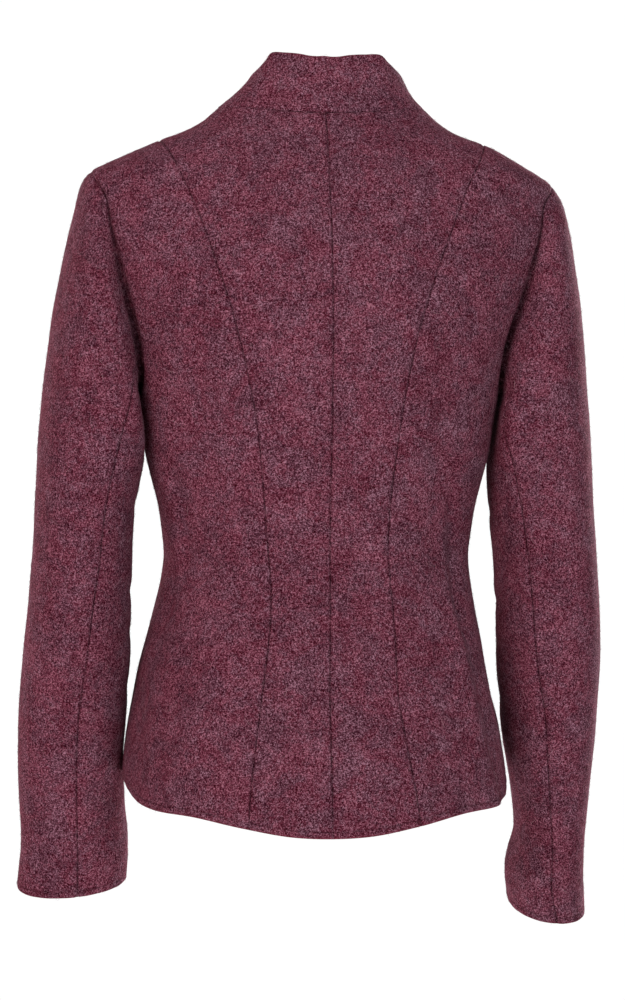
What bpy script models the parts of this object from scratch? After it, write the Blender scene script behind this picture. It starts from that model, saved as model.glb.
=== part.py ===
"""Boiled wool jacket for a woman, short and fitted, filled out as if worn.

Metres, +Z up. The front faces -Y, the back +Y, and +X is the wearer's left. The origin lies
on the body's axis at the height where the neck meets the shoulders.

The body is one skin, a stack of rounded rings, and every panel is cut from it between seam
lines. A place on the skin is (angle, height): 0 degrees at the centre back, 90 at the side,
180 at the centre front. The sleeves are lofts from the armhole down to the cuff.
"""

import math

import bmesh
import bpy
import numpy as np
from mathutils import Vector

WALL = 0.0025  # felted cloth, two folded layers at its edges
SEAM_GAP = 0.0003
COLLECTION = "boiled_wool_jacket"

# Body skin from the neck down. back and front are the depths from the shoulder plane,
# side is where the ring is widest, and square is the exponent of its rounding.
BODY_COLUMNS = ("height", "half_width", "back", "front", "side", "square")
BODY_RINGS = (
    (0.006, 0.0815, 0.0465, -0.0585, 0.000, 2.2),
    (-0.001, 0.0890, 0.0500, -0.0620, 0.000, 2.2),
    (-0.010, 0.0990, 0.0550, -0.0690, 0.000, 2.2),
    (-0.020, 0.1155, 0.0605, -0.0760, 0.000, 2.2),
    (-0.030, 0.1415, 0.0660, -0.0840, 0.000, 2.2),
    (-0.042, 0.1690, 0.0710, -0.0910, 0.000, 2.2),
    (-0.056, 0.1975, 0.0770, -0.0980, 0.000, 2.3),
    (-0.080, 0.2035, 0.0860, -0.1080, 0.000, 2.3),
    (-0.110, 0.2015, 0.0950, -0.1180, 0.000, 2.3),
    (-0.140, 0.1930, 0.1010, -0.1280, 0.000, 2.3),
    (-0.170, 0.1800, 0.1050, -0.1370, 0.000, 2.3),
    (-0.200, 0.1680, 0.1060, -0.1440, 0.000, 2.3),
    (-0.235, 0.1595, 0.1040, -0.1480, -0.002, 2.3),
    (-0.265, 0.1543, 0.1005, -0.1460, -0.004, 2.3),
    (-0.297, 0.1500, 0.0950, -0.1380, -0.005, 2.3),
    (-0.322, 0.1439, 0.0905, -0.1280, -0.006, 2.3),
    (-0.346, 0.1376, 0.0870, -0.1185, -0.008, 2.3),
    (-0.370, 0.1340, 0.0850, -0.1120, -0.010, 2.3),
    (-0.383, 0.1328, 0.0848, -0.1100, -0.012, 2.3),
    (-0.407, 0.1348, 0.0880, -0.1100, -0.018, 2.4),
    (-0.431, 0.1395, 0.0940, -0.1110, -0.022, 2.5),
    (-0.456, 0.1450, 0.1005, -0.1120, -0.024, 2.6),
    (-0.480, 0.1505, 0.1070, -0.1130, -0.025, 2.6),
    (-0.517, 0.1568, 0.1165, -0.1150, -0.025, 2.6),
    (-0.553, 0.1622, 0.1250, -0.1170, -0.024, 2.5),
    (-0.590, 0.1655, 0.1315, -0.1190, -0.020, 2.5),
    (-0.630, 0.1675, 0.1370, -0.1210, -0.018, 2.5),
)

# Soft troughs of the worn cloth: where they run, how wide in degrees and how deep. A negative
# depth is a ridge. The ends fade out.
FOLD_COLUMNS = ("side", "low", "low_angle", "high", "high_angle", "width", "depth")
FOLDS = (
    (1, -0.440, 57, -0.190, 55, 9, 0.0040),
    (-1, -0.450, 55, -0.200, 52, 9, 0.0045),
    (1, -0.395, 64, -0.300, 69, 5, 0.0035),
    (-1, -0.405, 68, -0.330, 66, 5, 0.0025),
    (1, -0.600, 40, -0.480, 47, 8, -0.0025),
    (-1, -0.600, 44, -0.450, 50, 7, -0.0030),
    (1, -0.610, 70, -0.470, 74, 7, 0.0025),
    (-1, -0.610, 74, -0.470, 78, 7, 0.0030),
    (1, -0.420, 128, -0.240, 124, 8, 0.0040),
    (-1, -0.420, 126, -0.240, 126, 8, 0.0035),
    (1, -0.580, 142, -0.470, 138, 8, 0.0020),
    (-1, -0.585, 138, -0.480, 141, 8, 0.0025),
)
FOLD_STARTS, FOLD_ENDS = (-0.12, 0.35), (0.65, 1.12)  # of the fold's length

# The lower edge of the body, all round.
HEM_COLUMNS = ("angle", "height")
HEM = (
    (0, -0.6200),
    (12, -0.6185),
    (28, -0.6110),
    (42, -0.6035),
    (58, -0.6000),
    (70, -0.5940),
    (80, -0.5855),
    (90, -0.5790),
    (110, -0.5740),
    (140, -0.5760),
    (180, -0.5820),
)

# The neckline, all round.
NECK_COLUMNS = ("angle", "height")
NECK = (
    (0, -0.0080),
    (40, -0.0060),
    (70, -0.0020),
    (90, -0.0010),
    (115, -0.0140),
    (145, -0.0400),
    (180, -0.0540),
)

# Distance of the shaped seams from the middle, on the back and on the front. The back's two
# aren't quite alike.
PRINCESS_COLUMNS = ("height", "back_left", "back_right", "front")
PRINCESS = (
    (-0.620, 0.0700, 0.0765, 0.0880),
    (-0.585, 0.0680, 0.0720, 0.0860),
    (-0.545, 0.0630, 0.0650, 0.0830),
    (-0.500, 0.0565, 0.0585, 0.0790),
    (-0.455, 0.0515, 0.0560, 0.0740),
    (-0.420, 0.0500, 0.0530, 0.0710),
    (-0.383, 0.0525, 0.0505, 0.0690),
    (-0.335, 0.0565, 0.0525, 0.0720),
    (-0.290, 0.0612, 0.0575, 0.0790),
    (-0.250, 0.0680, 0.0630, 0.0880),
    (-0.210, 0.0768, 0.0705, 0.0950),
    (-0.180, 0.0845, 0.0773, 0.0980),
    (-0.140, 0.0970, 0.0887, 0.1030),
    (-0.100, 0.1100, 0.1035, 0.1110),
    (-0.070, 0.1220, 0.1160, 0.1210),
    (-0.045, 0.1320, 0.1300, 0.1310),
)
PRINCESS_TOP = -0.0290  # where both shaped seams meet on the shoulder seam
SHOULDER_TIP = -0.0560

# The armhole on the skin, a step of the turn for each row: 0 at the shoulder tip, 180 under
# the arm.
ARMHOLE_COLUMNS = ("turn", "height", "back_angle", "front_angle")
ARMHOLE = (
    (0, -0.0560, 90.0, 90.0),
    (15, -0.0590, 84.8, 95.5),
    (30, -0.0670, 81.2, 100.0),
    (45, -0.0818, 77.6, 104.0),
    (60, -0.1028, 75.8, 107.5),
    (75, -0.1265, 74.4, 110.5),
    (90, -0.1515, 74.2, 112.0),
    (105, -0.1765, 74.8, 112.0),
    (120, -0.2000, 75.6, 110.5),
    (135, -0.2210, 77.2, 107.5),
    (150, -0.2360, 79.5, 103.0),
    (165, -0.2445, 84.5, 97.0),
    (180, -0.2470, 90.0, 90.0),
)
ELBOW_SEAM_TURN, FRONT_SEAM_TURN = 135, 225  # where the sleeve seams start on the armhole

# Each sleeve from its head to the cuff: its outer and inner points, its depth from front to
# back, how much lower its back hangs, and where the elbow seam and the front seam run.
SLEEVE_COLUMNS = ("outer", "outer_height", "inner", "inner_height", "back", "front",
                  "back_drop", "elbow_seam", "front_seam")
SLEEVES = {
    "left": (
        (0.2092, -0.068, 0.1592, -0.251, 0.0600, -0.0780, 0.000, 133, 224),
        (0.2145, -0.094, 0.1587, -0.257, 0.0635, -0.0795, 0.000, 131, 223),
        (0.2215, -0.127, 0.1577, -0.265, 0.0650, -0.0795, 0.000, 128, 222),
        (0.2285, -0.168, 0.1560, -0.277, 0.0650, -0.0780, 0.000, 125, 221),
        (0.2350, -0.213, 0.1535, -0.291, 0.0640, -0.0755, 0.000, 120, 220),
        (0.2396, -0.252, 0.1522, -0.305, 0.0620, -0.0725, 0.000, 116, 219),
        (0.2432, -0.292, 0.1553, -0.326, 0.0600, -0.0680, 0.001, 113, 218),
        (0.2455, -0.336, 0.1600, -0.353, 0.0580, -0.0635, 0.002, 110, 217),
        (0.2470, -0.382, 0.1616, -0.386, 0.0550, -0.0600, 0.004, 107, 216),
        (0.2508, -0.425, 0.1620, -0.426, 0.0450, -0.0660, 0.008, 101, 215),
        (0.2550, -0.468, 0.1617, -0.468, 0.0310, -0.0730, 0.010, 97, 214),
        (0.2580, -0.515, 0.1640, -0.514, 0.0140, -0.0810, 0.011, 93, 213),
        (0.2587, -0.560, 0.1668, -0.558, -0.0020, -0.0900, 0.011, 94, 212),
        (0.2572, -0.605, 0.1645, -0.600, -0.0190, -0.0990, 0.011, 93, 210),
        (0.2556, -0.642, 0.1608, -0.636, -0.0310, -0.1070, 0.011, 91, 208),
        (0.2585, -0.680, 0.1624, -0.672, -0.0410, -0.1140, 0.011, 94, 206),
    ),
    "right": (
        (0.2150, -0.077, 0.1592, -0.252, 0.0600, -0.0780, 0.000, 138, 224),
        (0.2202, -0.100, 0.1587, -0.258, 0.0635, -0.0795, 0.000, 141, 223),
        (0.2250, -0.130, 0.1577, -0.266, 0.0650, -0.0795, 0.000, 142, 222),
        (0.2310, -0.170, 0.1560, -0.278, 0.0650, -0.0780, 0.000, 143, 221),
        (0.2350, -0.213, 0.1535, -0.292, 0.0640, -0.0755, 0.000, 139, 220),
        (0.2375, -0.252, 0.1515, -0.306, 0.0620, -0.0725, 0.000, 134, 219),
        (0.2402, -0.292, 0.1512, -0.326, 0.0600, -0.0690, 0.001, 130, 218),
        (0.2422, -0.336, 0.1527, -0.353, 0.0585, -0.0650, 0.002, 125, 217),
        (0.2448, -0.382, 0.1562, -0.385, 0.0570, -0.0610, 0.004, 123, 216),
        (0.2490, -0.425, 0.1588, -0.425, 0.0480, -0.0680, 0.008, 119, 215),
        (0.2528, -0.468, 0.1612, -0.468, 0.0360, -0.0770, 0.011, 115, 214),
        (0.2525, -0.515, 0.1664, -0.515, 0.0220, -0.0870, 0.013, 107, 213),
        (0.2508, -0.560, 0.1735, -0.560, 0.0080, -0.0950, 0.013, 105, 212),
        (0.2486, -0.605, 0.1822, -0.606, -0.0060, -0.1030, 0.013, 104, 210),
        (0.2472, -0.641, 0.1850, -0.638, -0.0160, -0.1110, 0.013, 100, 208),
        (0.2478, -0.673, 0.1800, -0.669, -0.0240, -0.1190, 0.013, 94, 207),
        (0.2505, -0.705, 0.1835, -0.700, -0.0310, -0.1270, 0.013, 88, 206),
    ),
}
SLEEVE_SQUARE = 2.2
UNDERARM_BIAS = 0.8  # how far the armhole's rim turns down under the arm
# Creases inside the bent elbow: place along the sleeve (0 head, 1 cuff), turn, spread, depth.
ELBOW_CREASES = ((0.46, 262, 42, 0.0030), (0.53, 250, 36, 0.0040), (0.61, 270, 34, 0.0025))
CREASE_REACH = 0.022

# The collar above the neckline: how far its top leans in, and how high it stands.
COLLAR_COLUMNS = ("angle", "lean", "rise")
COLLAR = (
    (0, 0.0100, 0.0496),
    (8, 0.0102, 0.0491),
    (16, 0.0106, 0.0492),
    (28, 0.0126, 0.0504),
    (45, 0.0166, 0.0505),
    (56, 0.0170, 0.0492),
    (66, 0.0236, 0.0426),
    (76, 0.0269, 0.0363),
    (90, 0.0253, 0.0300),
    (112, 0.0240, 0.0290),
    (145, 0.0150, 0.0320),
    (180, 0.0070, 0.0340),
)
COLLAR_HOLLOW = 0.0025  # the collar's wall curves in between its base and its top
COLLAR_END_ANGLE, COLLAR_END_LIFT = 178.0, 0.0008

# The garment doesn't hang evenly: the right neck and shoulder reach further out, the right
# tip hangs lower, the collar leans to the right and the skirt swings to the left.
RIGHT_SHOULDER_REACH, REACH_FROM, REACH_TO = 0.0050, 0.03, 0.09
RIGHT_SHOULDER_DROP, DROP_FROM, DROP_TO = 0.0065, 0.14, 0.205
UNEVEN_LOW, UNEVEN_HIGH = -0.24, -0.09  # no effect below, full effect above
COLLAR_SWAY = 0.0049
COLLAR_TURN, TURN_REACH = 6.6, 60.0  # degrees the collar's shape is turned round at the back
SKIRT_SWAY, SWAY_HIGH, SWAY_LOW = 0.0040, -0.390, -0.520

FRONT_LAP = 0.020  # each front reaches this far past the centre front
LAP_STEP = WALL + 0.0007
LAP_EASE_ANGLES = 156.0, 168.0  # the under front steps back between these
LAP_NECK_DROP = 0.0020  # the lapped corners lie just below the collar

BUTTON_HEIGHTS = (-0.110, -0.185, -0.260, -0.335, -0.410)
BUTTON_RADIUS, BUTTON_THICKNESS = 0.0105, 0.0040
BUTTON_CLEARANCE, BUTTON_STEPS = 0.0006, 16
# Outline from the middle of the top round the rim to the middle of the back.
BUTTON_COLUMNS = ("radius", "height")
BUTTON_PROFILE = (
    (0, 0.62),
    (0.62, 0.62),
    (0.74, 1),
    (0.92, 1),
    (1, 0.7),
    (1, 0.3),
    (0.85, 0),
    (0, 0),
)

LOW_ROWS, HIGH_ROWS, SIDE_STEPS = 14, 12, 7  # the high rows end on the armhole's steps
NECK_STEPS, SHOULDER_STEPS = 7, 3  # of a middle panel's top, and so of the collar
SLEEVE_ROWS, COLLAR_ROWS = 20, 4
HEM_FADE, TOP_FADE = 4, 8  # how soon a panel's rows even out away from its hem and its top
HIGH_CROWDING, SLEEVE_CROWDING = 1.25, 1.12  # over 1 sets rows closer near the shoulder
HEM_TRIES = 6  # rounds that find where a sloping seam meets the hem
SHARP_ANGLE = 40.0
DIFFERENCE, TURN_DIFFERENCE = 1e-4, 0.05  # metres and degrees, to measure slopes

WOOL_COLOUR, WOOL_ROUGHNESS = (0.125, 0.036, 0.055), 0.95
BUTTON_COLOUR, BUTTON_ROUGHNESS = (0.045, 0.015, 0.022), 0.45


def column(rows, columns, name):
    return np.array([row[columns.index(name)] for row in rows], float)


def smooth(x, knots, values):
    """A curve through the knots with even slopes, flat past its ends. values may be points."""
    order = np.argsort(knots)
    knots, values = np.asarray(knots, float)[order], np.asarray(values, float)[order]
    x = np.clip(np.asarray(x, float), knots[0], knots[-1])
    steps = np.diff(knots)
    shape = (-1,) + (1,) * (values.ndim - 1)
    chords = np.diff(values, axis=0) / steps.reshape(shape)
    slopes = np.empty_like(values)
    slopes[0], slopes[-1] = chords[0], chords[-1]
    before, after = steps[:-1].reshape(shape), steps[1:].reshape(shape)
    slopes[1:-1] = (after * chords[:-1] + before * chords[1:]) / (before + after)
    at = np.clip(np.searchsorted(knots, x, side="right") - 1, 0, len(steps) - 1)
    spread = x.shape + (1,) * (values.ndim - 1)
    wide, u = steps[at].reshape(spread), ((x - knots[at]) / steps[at]).reshape(spread)
    rest = 1 - u
    return (
        values[at] * (1 + 2 * u) * rest**2
        + values[at + 1] * (3 - 2 * u) * u**2
        + wide * (slopes[at] * u * rest**2 - slopes[at + 1] * u**2 * rest)
    )


def ease(x, low, high):
    t = np.clip((np.asarray(x, float) - low) / (high - low), 0, 1)
    return t * t * (3 - 2 * t)


def unit(vectors):
    return vectors / np.maximum(np.linalg.norm(vectors, axis=-1, keepdims=True), 1e-12)


def mirrored(angle, rows, columns, name):
    """A value that is the same on both sides, smooth across the middles."""
    knots, values = column(rows, columns, "angle"), column(rows, columns, name)
    knots = np.concatenate([-knots[2:0:-1], knots, 360 - knots[-2:-4:-1]])
    values = np.concatenate([values[2:0:-1], values, values[-2:-4:-1]])
    return smooth(np.abs(angle), knots, values)


def body_size(height, name):
    return smooth(height, column(BODY_RINGS, BODY_COLUMNS, "height"),
                  column(BODY_RINGS, BODY_COLUMNS, name))


def folded(angle, height):
    """How far the troughs and ridges move the skin inward."""
    inward = np.zeros(np.broadcast(angle, height).shape)
    for row in FOLDS:
        fold = dict(zip(FOLD_COLUMNS, row))
        along = (height - fold["low"]) / (fold["high"] - fold["low"])
        swing = fold["high_angle"] - fold["low_angle"]
        middle = fold["side"] * (fold["low_angle"] + swing * along)
        fade = ease(along, *FOLD_STARTS) * (1 - ease(along, *FOLD_ENDS))
        spread = np.exp(-(((angle - middle) / fold["width"]) ** 2))
        inward = inward + fold["depth"] * fade * spread
    return inward


def skin(angle, height):
    """The point of the body's outer skin at an angle and a height."""
    angle, height = np.broadcast_arrays(np.asarray(angle, float), np.asarray(height, float))
    turn = np.radians(angle)
    across, along = np.sin(turn), np.cos(turn)
    side = body_size(height, "side")
    depth = np.where(along > 0, body_size(height, "back") - side,
                     side - body_size(height, "front"))
    square = body_size(height, "square")
    reach = (np.abs(across / body_size(height, "half_width")) ** square
             + np.abs(along / depth) ** square) ** (-1 / square)
    reach = reach - folded(angle, height)
    x, y = reach * across, side + reach * along
    high = ease(height, UNEVEN_LOW, UNEVEN_HIGH)
    drop = RIGHT_SHOULDER_DROP * ease(-x, DROP_FROM, DROP_TO) * high
    reach_out = RIGHT_SHOULDER_REACH * ease(-x, REACH_FROM, REACH_TO) * high
    sway = SKIRT_SWAY * (1 - ease(height, SWAY_LOW, SWAY_HIGH))
    return np.stack([x - reach_out + sway, y, height - drop], axis=-1)


def skin_normal(angle, height):
    turned = skin(angle + TURN_DIFFERENCE, height) - skin(angle - TURN_DIFFERENCE, height)
    raised = skin(angle, height + DIFFERENCE) - skin(angle, height - DIFFERENCE)
    return unit(np.cross(raised, turned))


def angle_at(distance, height, front=False):
    """The angle at which the skin lies this far from the middle."""
    wide, square = body_size(height, "half_width"), body_size(height, "square")
    side = body_size(height, "side")
    depth = side - body_size(height, "front") if front else body_size(height, "back") - side
    along = depth * np.maximum(1 - (distance / wide) ** square, 0) ** (1 / square)
    angle = np.degrees(np.arctan2(distance, along))
    return 180 - angle if front else angle


def row_places():
    """0 to 1 up a seam: even below the underarm, closer together near the shoulder."""
    low = np.linspace(0, 1, LOW_ROWS + 1)
    high = 1 - (1 - np.linspace(0, 1, HIGH_ROWS + 1)) ** HIGH_CROWDING
    return low, high


def seam_heights(hem, top):
    low, high = row_places()
    chest = ARMHOLE[-1][1]
    return np.concatenate([hem + (chest - hem) * low, chest + (top - chest) * high[1:]])


def middle_seam(angle):
    heights = seam_heights(float(mirrored(angle, HEM, HEM_COLUMNS, "height")),
                           float(mirrored(angle, NECK, NECK_COLUMNS, "height")))
    return np.stack([np.full_like(heights, angle), heights], axis=-1)


def princess_seam(side, front):
    name = "front" if front else {1: "back_left", -1: "back_right"}[side]

    def distance(height):
        return smooth(height, column(PRINCESS, PRINCESS_COLUMNS, "height"),
                      column(PRINCESS, PRINCESS_COLUMNS, name))

    hem = HEM[0][1]
    for _ in range(HEM_TRIES):
        hem = float(mirrored(angle_at(distance(hem), hem, front), HEM, HEM_COLUMNS, "height"))
    heights = seam_heights(hem, PRINCESS_TOP)
    top = float(body_size(PRINCESS_TOP, "half_width"))
    near = PRINCESS[-1][0]
    blend = ease(heights, near, PRINCESS_TOP)
    straight = distance(near) + (top - distance(near)) * (heights - near) / (PRINCESS_TOP - near)
    reach = np.where(heights > near, straight, distance(heights))
    angles = angle_at(np.minimum(reach, body_size(heights, "half_width")), heights, front)
    angles = np.where(blend >= 1, 90.0, angles)
    return np.stack([angles, heights], axis=-1)


def side_edge(front):
    """The side seam from the hem to the underarm, then the armhole up to the shoulder tip."""
    name = "front_angle" if front else "back_angle"
    hem = float(mirrored(90, HEM, HEM_COLUMNS, "height"))
    heights = hem + (ARMHOLE[-1][1] - hem) * row_places()[0]
    seam = np.stack([np.full_like(heights, 90.0), heights], axis=-1)
    hole = np.stack([column(ARMHOLE, ARMHOLE_COLUMNS, name),
                     column(ARMHOLE, ARMHOLE_COLUMNS, "height")], axis=-1)
    return np.concatenate([seam, hole[::-1][1:]])


def hem_edge(angles):
    return np.stack([angles, mirrored(angles, HEM, HEM_COLUMNS, "height")], axis=-1)


def neck_and_shoulder(angles):
    """The top of a middle panel: along the neckline, then down the shoulder seam."""
    neck = np.stack([angles, mirrored(angles, NECK, NECK_COLUMNS, "height")], axis=-1)
    heights = np.linspace(neck[-1, 1], PRINCESS_TOP, SHOULDER_STEPS + 1)
    shoulder = np.stack([np.full_like(heights, 90.0), heights], axis=-1)
    return np.concatenate([neck, shoulder[1:]])


def shoulder_edge():
    heights = np.linspace(PRINCESS_TOP, SHOULDER_TIP, SIDE_STEPS + 1)
    return np.stack([np.full_like(heights, 90.0), heights], axis=-1)


def patch(near, far, bottom, top):
    """Places inside four edges. Rows run up, columns across, even between the two sides. The
    shape of the bottom and of the top fades out quickly, so no column crosses a side."""
    low, high = row_places()
    t = np.concatenate([low / 2, 0.5 + high[1:] / 2])[:, None, None]
    s = np.linspace(0, 1, len(bottom))[None, :, None]
    even = (1 - s) * near[:, None] + s * far[:, None]
    lower = bottom[None] - (1 - s) * bottom[0] - s * bottom[-1]
    upper = top[None] - (1 - s) * top[0] - s * top[-1]
    return even + (1 - t) ** HEM_FADE * lower + t**TOP_FADE * upper


def in_edge(points, normals, edge, gap):
    """Draws one edge of a grid in by half of the seam's gap."""
    line, inner = {
        "near": ((slice(None), 0), (slice(None), 1)),
        "far": ((slice(None), -1), (slice(None), -2)),
        "bottom": ((0, slice(None)), (1, slice(None))),
        "top": ((-1, slice(None)), (-2, slice(None))),
    }[edge]
    along = np.gradient(points[line], axis=0)
    across = unit(np.cross(normals[line], along))
    inward = np.sum(across * (points[inner] - points[line]), axis=-1).sum()
    return line, across * math.copysign(gap / 2, inward)


def wall(name, points, normals, edges, material):
    """A closed wall from a grid of outer points, its inner side one cloth thickness in."""
    moves = [in_edge(points, normals, edge, SEAM_GAP) for edge in edges]
    points = points.copy()
    for line, move in moves:
        points[line] += move
    rows, steps = points.shape[:2]
    inner = points - WALL * normals
    vertices = np.concatenate([points.reshape(-1, 3), inner.reshape(-1, 3)])
    at = np.arange(rows * steps).reshape(rows, steps)
    quads = np.stack([at[:-1, :-1], at[:-1, 1:], at[1:, 1:], at[1:, :-1]], axis=-1).reshape(-1, 4)
    back = quads[:, ::-1] + rows * steps
    loop = np.concatenate([at[0, :], at[1:, -1], at[-1, -2::-1], at[-2:0:-1, 0]])
    after = np.roll(loop, -1)
    rim = np.stack([loop, loop + rows * steps, after + rows * steps, after], axis=-1)
    return add_mesh(name, vertices, np.concatenate([quads, back, rim]), material)


def add_mesh(name, vertices, faces, material):
    mesh = bpy.data.meshes.new(name)
    mesh.from_pydata(vertices.tolist(), [], faces.tolist())
    shape = bmesh.new()
    shape.from_mesh(mesh)
    bmesh.ops.triangulate(shape, faces=shape.faces[:], quad_method="SHORT_EDGE")
    bmesh.ops.recalc_face_normals(shape, faces=shape.faces[:])
    if shape.calc_volume(signed=True) < 0:
        bmesh.ops.reverse_faces(shape, faces=shape.faces[:])
    shape.to_mesh(mesh)
    shape.free()
    mesh.shade_smooth()
    mesh.set_sharp_from_angle(angle=math.radians(SHARP_ANGLE))
    return add_object(name, mesh, material)


def add_object(name, mesh, material):
    mesh.materials.append(material)
    piece = bpy.data.objects.new(name, mesh)
    bpy.data.collections[COLLECTION].objects.link(piece)
    return piece


def make_material(name, colour, roughness):
    material = bpy.data.materials.new(name)
    material.use_nodes = True
    shader = material.node_tree.nodes["Principled BSDF"]
    shader.inputs["Base Color"].default_value = (*colour, 1)
    shader.inputs["Roughness"].default_value = roughness
    shader.inputs["Metallic"].default_value = 0
    return material


def lapped(points, normals, places):
    """Sets the left front back behind the right one near the centre front."""
    step = LAP_STEP * ease(places[..., 0], *LAP_EASE_ANGLES)
    return points - normals * step[..., None]


def sleeve_normals(points):
    """Outward directions of a closed loft whose columns run round it."""
    round_it = np.roll(points, -1, axis=1) - np.roll(points, 1, axis=1)
    down = np.gradient(points, axis=0)
    normals = unit(np.cross(round_it, down))
    out = points - points.mean(axis=1, keepdims=True)
    return normals * np.sign(np.sum(normals * out, axis=-1).mean(axis=1))[:, None, None]


def armhole_places(side):
    """Angle and height of the armhole's steps, once round from the shoulder over the back."""
    back = column(ARMHOLE, ARMHOLE_COLUMNS, "back_angle")
    front = column(ARMHOLE, ARMHOLE_COLUMNS, "front_angle")
    height = column(ARMHOLE, ARMHOLE_COLUMNS, "height")
    angles = np.concatenate([back, front[-2:0:-1]]) * side
    return angles, np.concatenate([height, height[-2:0:-1]])


def armhole_turns():
    turns = column(ARMHOLE, ARMHOLE_COLUMNS, "turn")
    return np.concatenate([turns, 360 - turns[-2:0:-1]])


def seam_turns(turns, elbow, front):
    """Moves the columns round the sleeve so that its two seams lie where the row says."""
    return np.interp(turns, [0, ELBOW_SEAM_TURN, FRONT_SEAM_TURN, 360], [0, elbow, front, 360])


def sleeve_loft(side_name):
    """Outer points of a sleeve, a row for each step down, and the columns' turns."""
    side = 1 if side_name == "left" else -1
    rings = [skin(*armhole_places(side))]
    turns = armhole_turns()
    for row in SLEEVES[side_name]:
        size = dict(zip(SLEEVE_COLUMNS, row))
        turn = np.radians(seam_turns(turns, size["elbow_seam"], size["front_seam"]))
        reach = (np.abs(np.cos(turn)) ** SLEEVE_SQUARE
                 + np.abs(np.sin(turn)) ** SLEEVE_SQUARE) ** (-1 / SLEEVE_SQUARE)
        out, back = reach * np.cos(turn), reach * np.sin(turn)
        x = (size["outer"] + size["inner"]) / 2 + (size["outer"] - size["inner"]) / 2 * out
        y = (size["back"] + size["front"]) / 2 + (size["back"] - size["front"]) / 2 * back
        z = ((size["outer_height"] + size["inner_height"]) / 2
             + (size["outer_height"] - size["inner_height"]) / 2 * out
             - size["back_drop"] * back)
        rings.append(np.stack([side * x, y, z], axis=-1))
    rings = np.array(rings)
    lengths = np.linalg.norm(np.diff(rings.mean(axis=1), axis=0), axis=-1)
    knots = np.concatenate([[0], np.cumsum(lengths)]) / lengths.sum()
    places = np.linspace(0, 1, SLEEVE_ROWS + 1) ** SLEEVE_CROWDING
    points = smooth(places, knots, rings)
    inward = np.zeros(points.shape[:2])
    for place, turn, spread, depth in ELBOW_CREASES:
        across = np.exp(-(((places - place) / CREASE_REACH) ** 2))
        inward += depth * across[:, None] * np.exp(-(((turns - turn) / spread) ** 2))[None]
    return points - sleeve_normals(points) * inward[..., None], turns


def seam_normals(side_name, loft):
    """The shared direction of both rims at the armhole, between body and sleeve."""
    side = 1 if side_name == "left" else -1
    body = skin_normal(*armhole_places(side))
    sleeve = sleeve_normals(loft)[0]
    under = np.clip(-np.cos(np.radians(armhole_turns())), 0, 1) ** 2
    down = np.stack([0 * under, 0 * under, -UNDERARM_BIAS * under], axis=-1)
    return unit(body + sleeve + down)


def build_sleeve(side_name, loft, turns, rim_normals, wool):
    normals = sleeve_normals(loft)
    normals[0] = rim_normals
    elbow = int(np.flatnonzero(turns == ELBOW_SEAM_TURN)[0])
    front = int(np.flatnonzero(turns == FRONT_SEAM_TURN)[0])
    under = np.arange(elbow, front + 1)
    upper = np.arange(front, elbow + len(turns) + 1) % len(turns)
    for name, columns in (("upper_sleeve", upper), ("under_sleeve", under)):
        wall(f"{name}_{side_name}", loft[:, columns], normals[:, columns],
             ("near", "far", "bottom"), wool(f"{name}_{side_name}"))


def build_middle_panel(name, side, front, wool):
    """From the middle of the back or front to the shaped seam."""
    middle = 180.0 if front else 0.0
    near, far = middle_seam(middle), princess_seam(side, front)
    hem_angles = np.linspace(middle, far[0, 0], NECK_STEPS + SHOULDER_STEPS + 1)
    neck_angles = np.linspace(middle, 90, NECK_STEPS + 1)
    if front:
        lap = np.degrees(FRONT_LAP / np.abs(skin(180.0, near[:, 1])[..., 1]))
        near[:, 0] += lap
        hem_angles = np.concatenate([near[:1, 0], hem_angles])
        neck_angles = np.concatenate([near[-1:, 0], neck_angles])
    bottom, top = hem_edge(hem_angles), neck_and_shoulder(neck_angles)
    if front:
        top[0, 1] -= LAP_NECK_DROP
    near[0], near[-1] = bottom[0], top[0]
    places = patch(near, far, bottom, top)
    angles, heights = side * places[..., 0], places[..., 1]
    points, normals = skin(angles, heights), skin_normal(angles, heights)
    if front and side == 1:
        points = lapped(points, normals, places)
    edges = ("far", "top") if front else ("near", "far", "top")
    wall(name, points, normals, edges, wool(name))


def build_side_panel(name, side, front, rim_normals, wool):
    """From the shaped seam to the side seam and the armhole."""
    near, far = princess_seam(side, front), side_edge(front)
    bottom = hem_edge(np.linspace(near[0, 0], far[0, 0], SIDE_STEPS + 1))
    places = patch(near, far, bottom, shoulder_edge())
    angles, heights = side * places[..., 0], places[..., 1]
    points, normals = skin(angles, heights), skin_normal(angles, heights)
    half = len(ARMHOLE) - 1
    hole = rim_normals[half:] if front else rim_normals[half::-1]
    if front:
        hole = np.concatenate([hole, rim_normals[:1]])
    normals[LOW_ROWS:, -1] = hole
    wall(name, points, normals, ("near", "far", "top"), wool(name))


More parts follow.
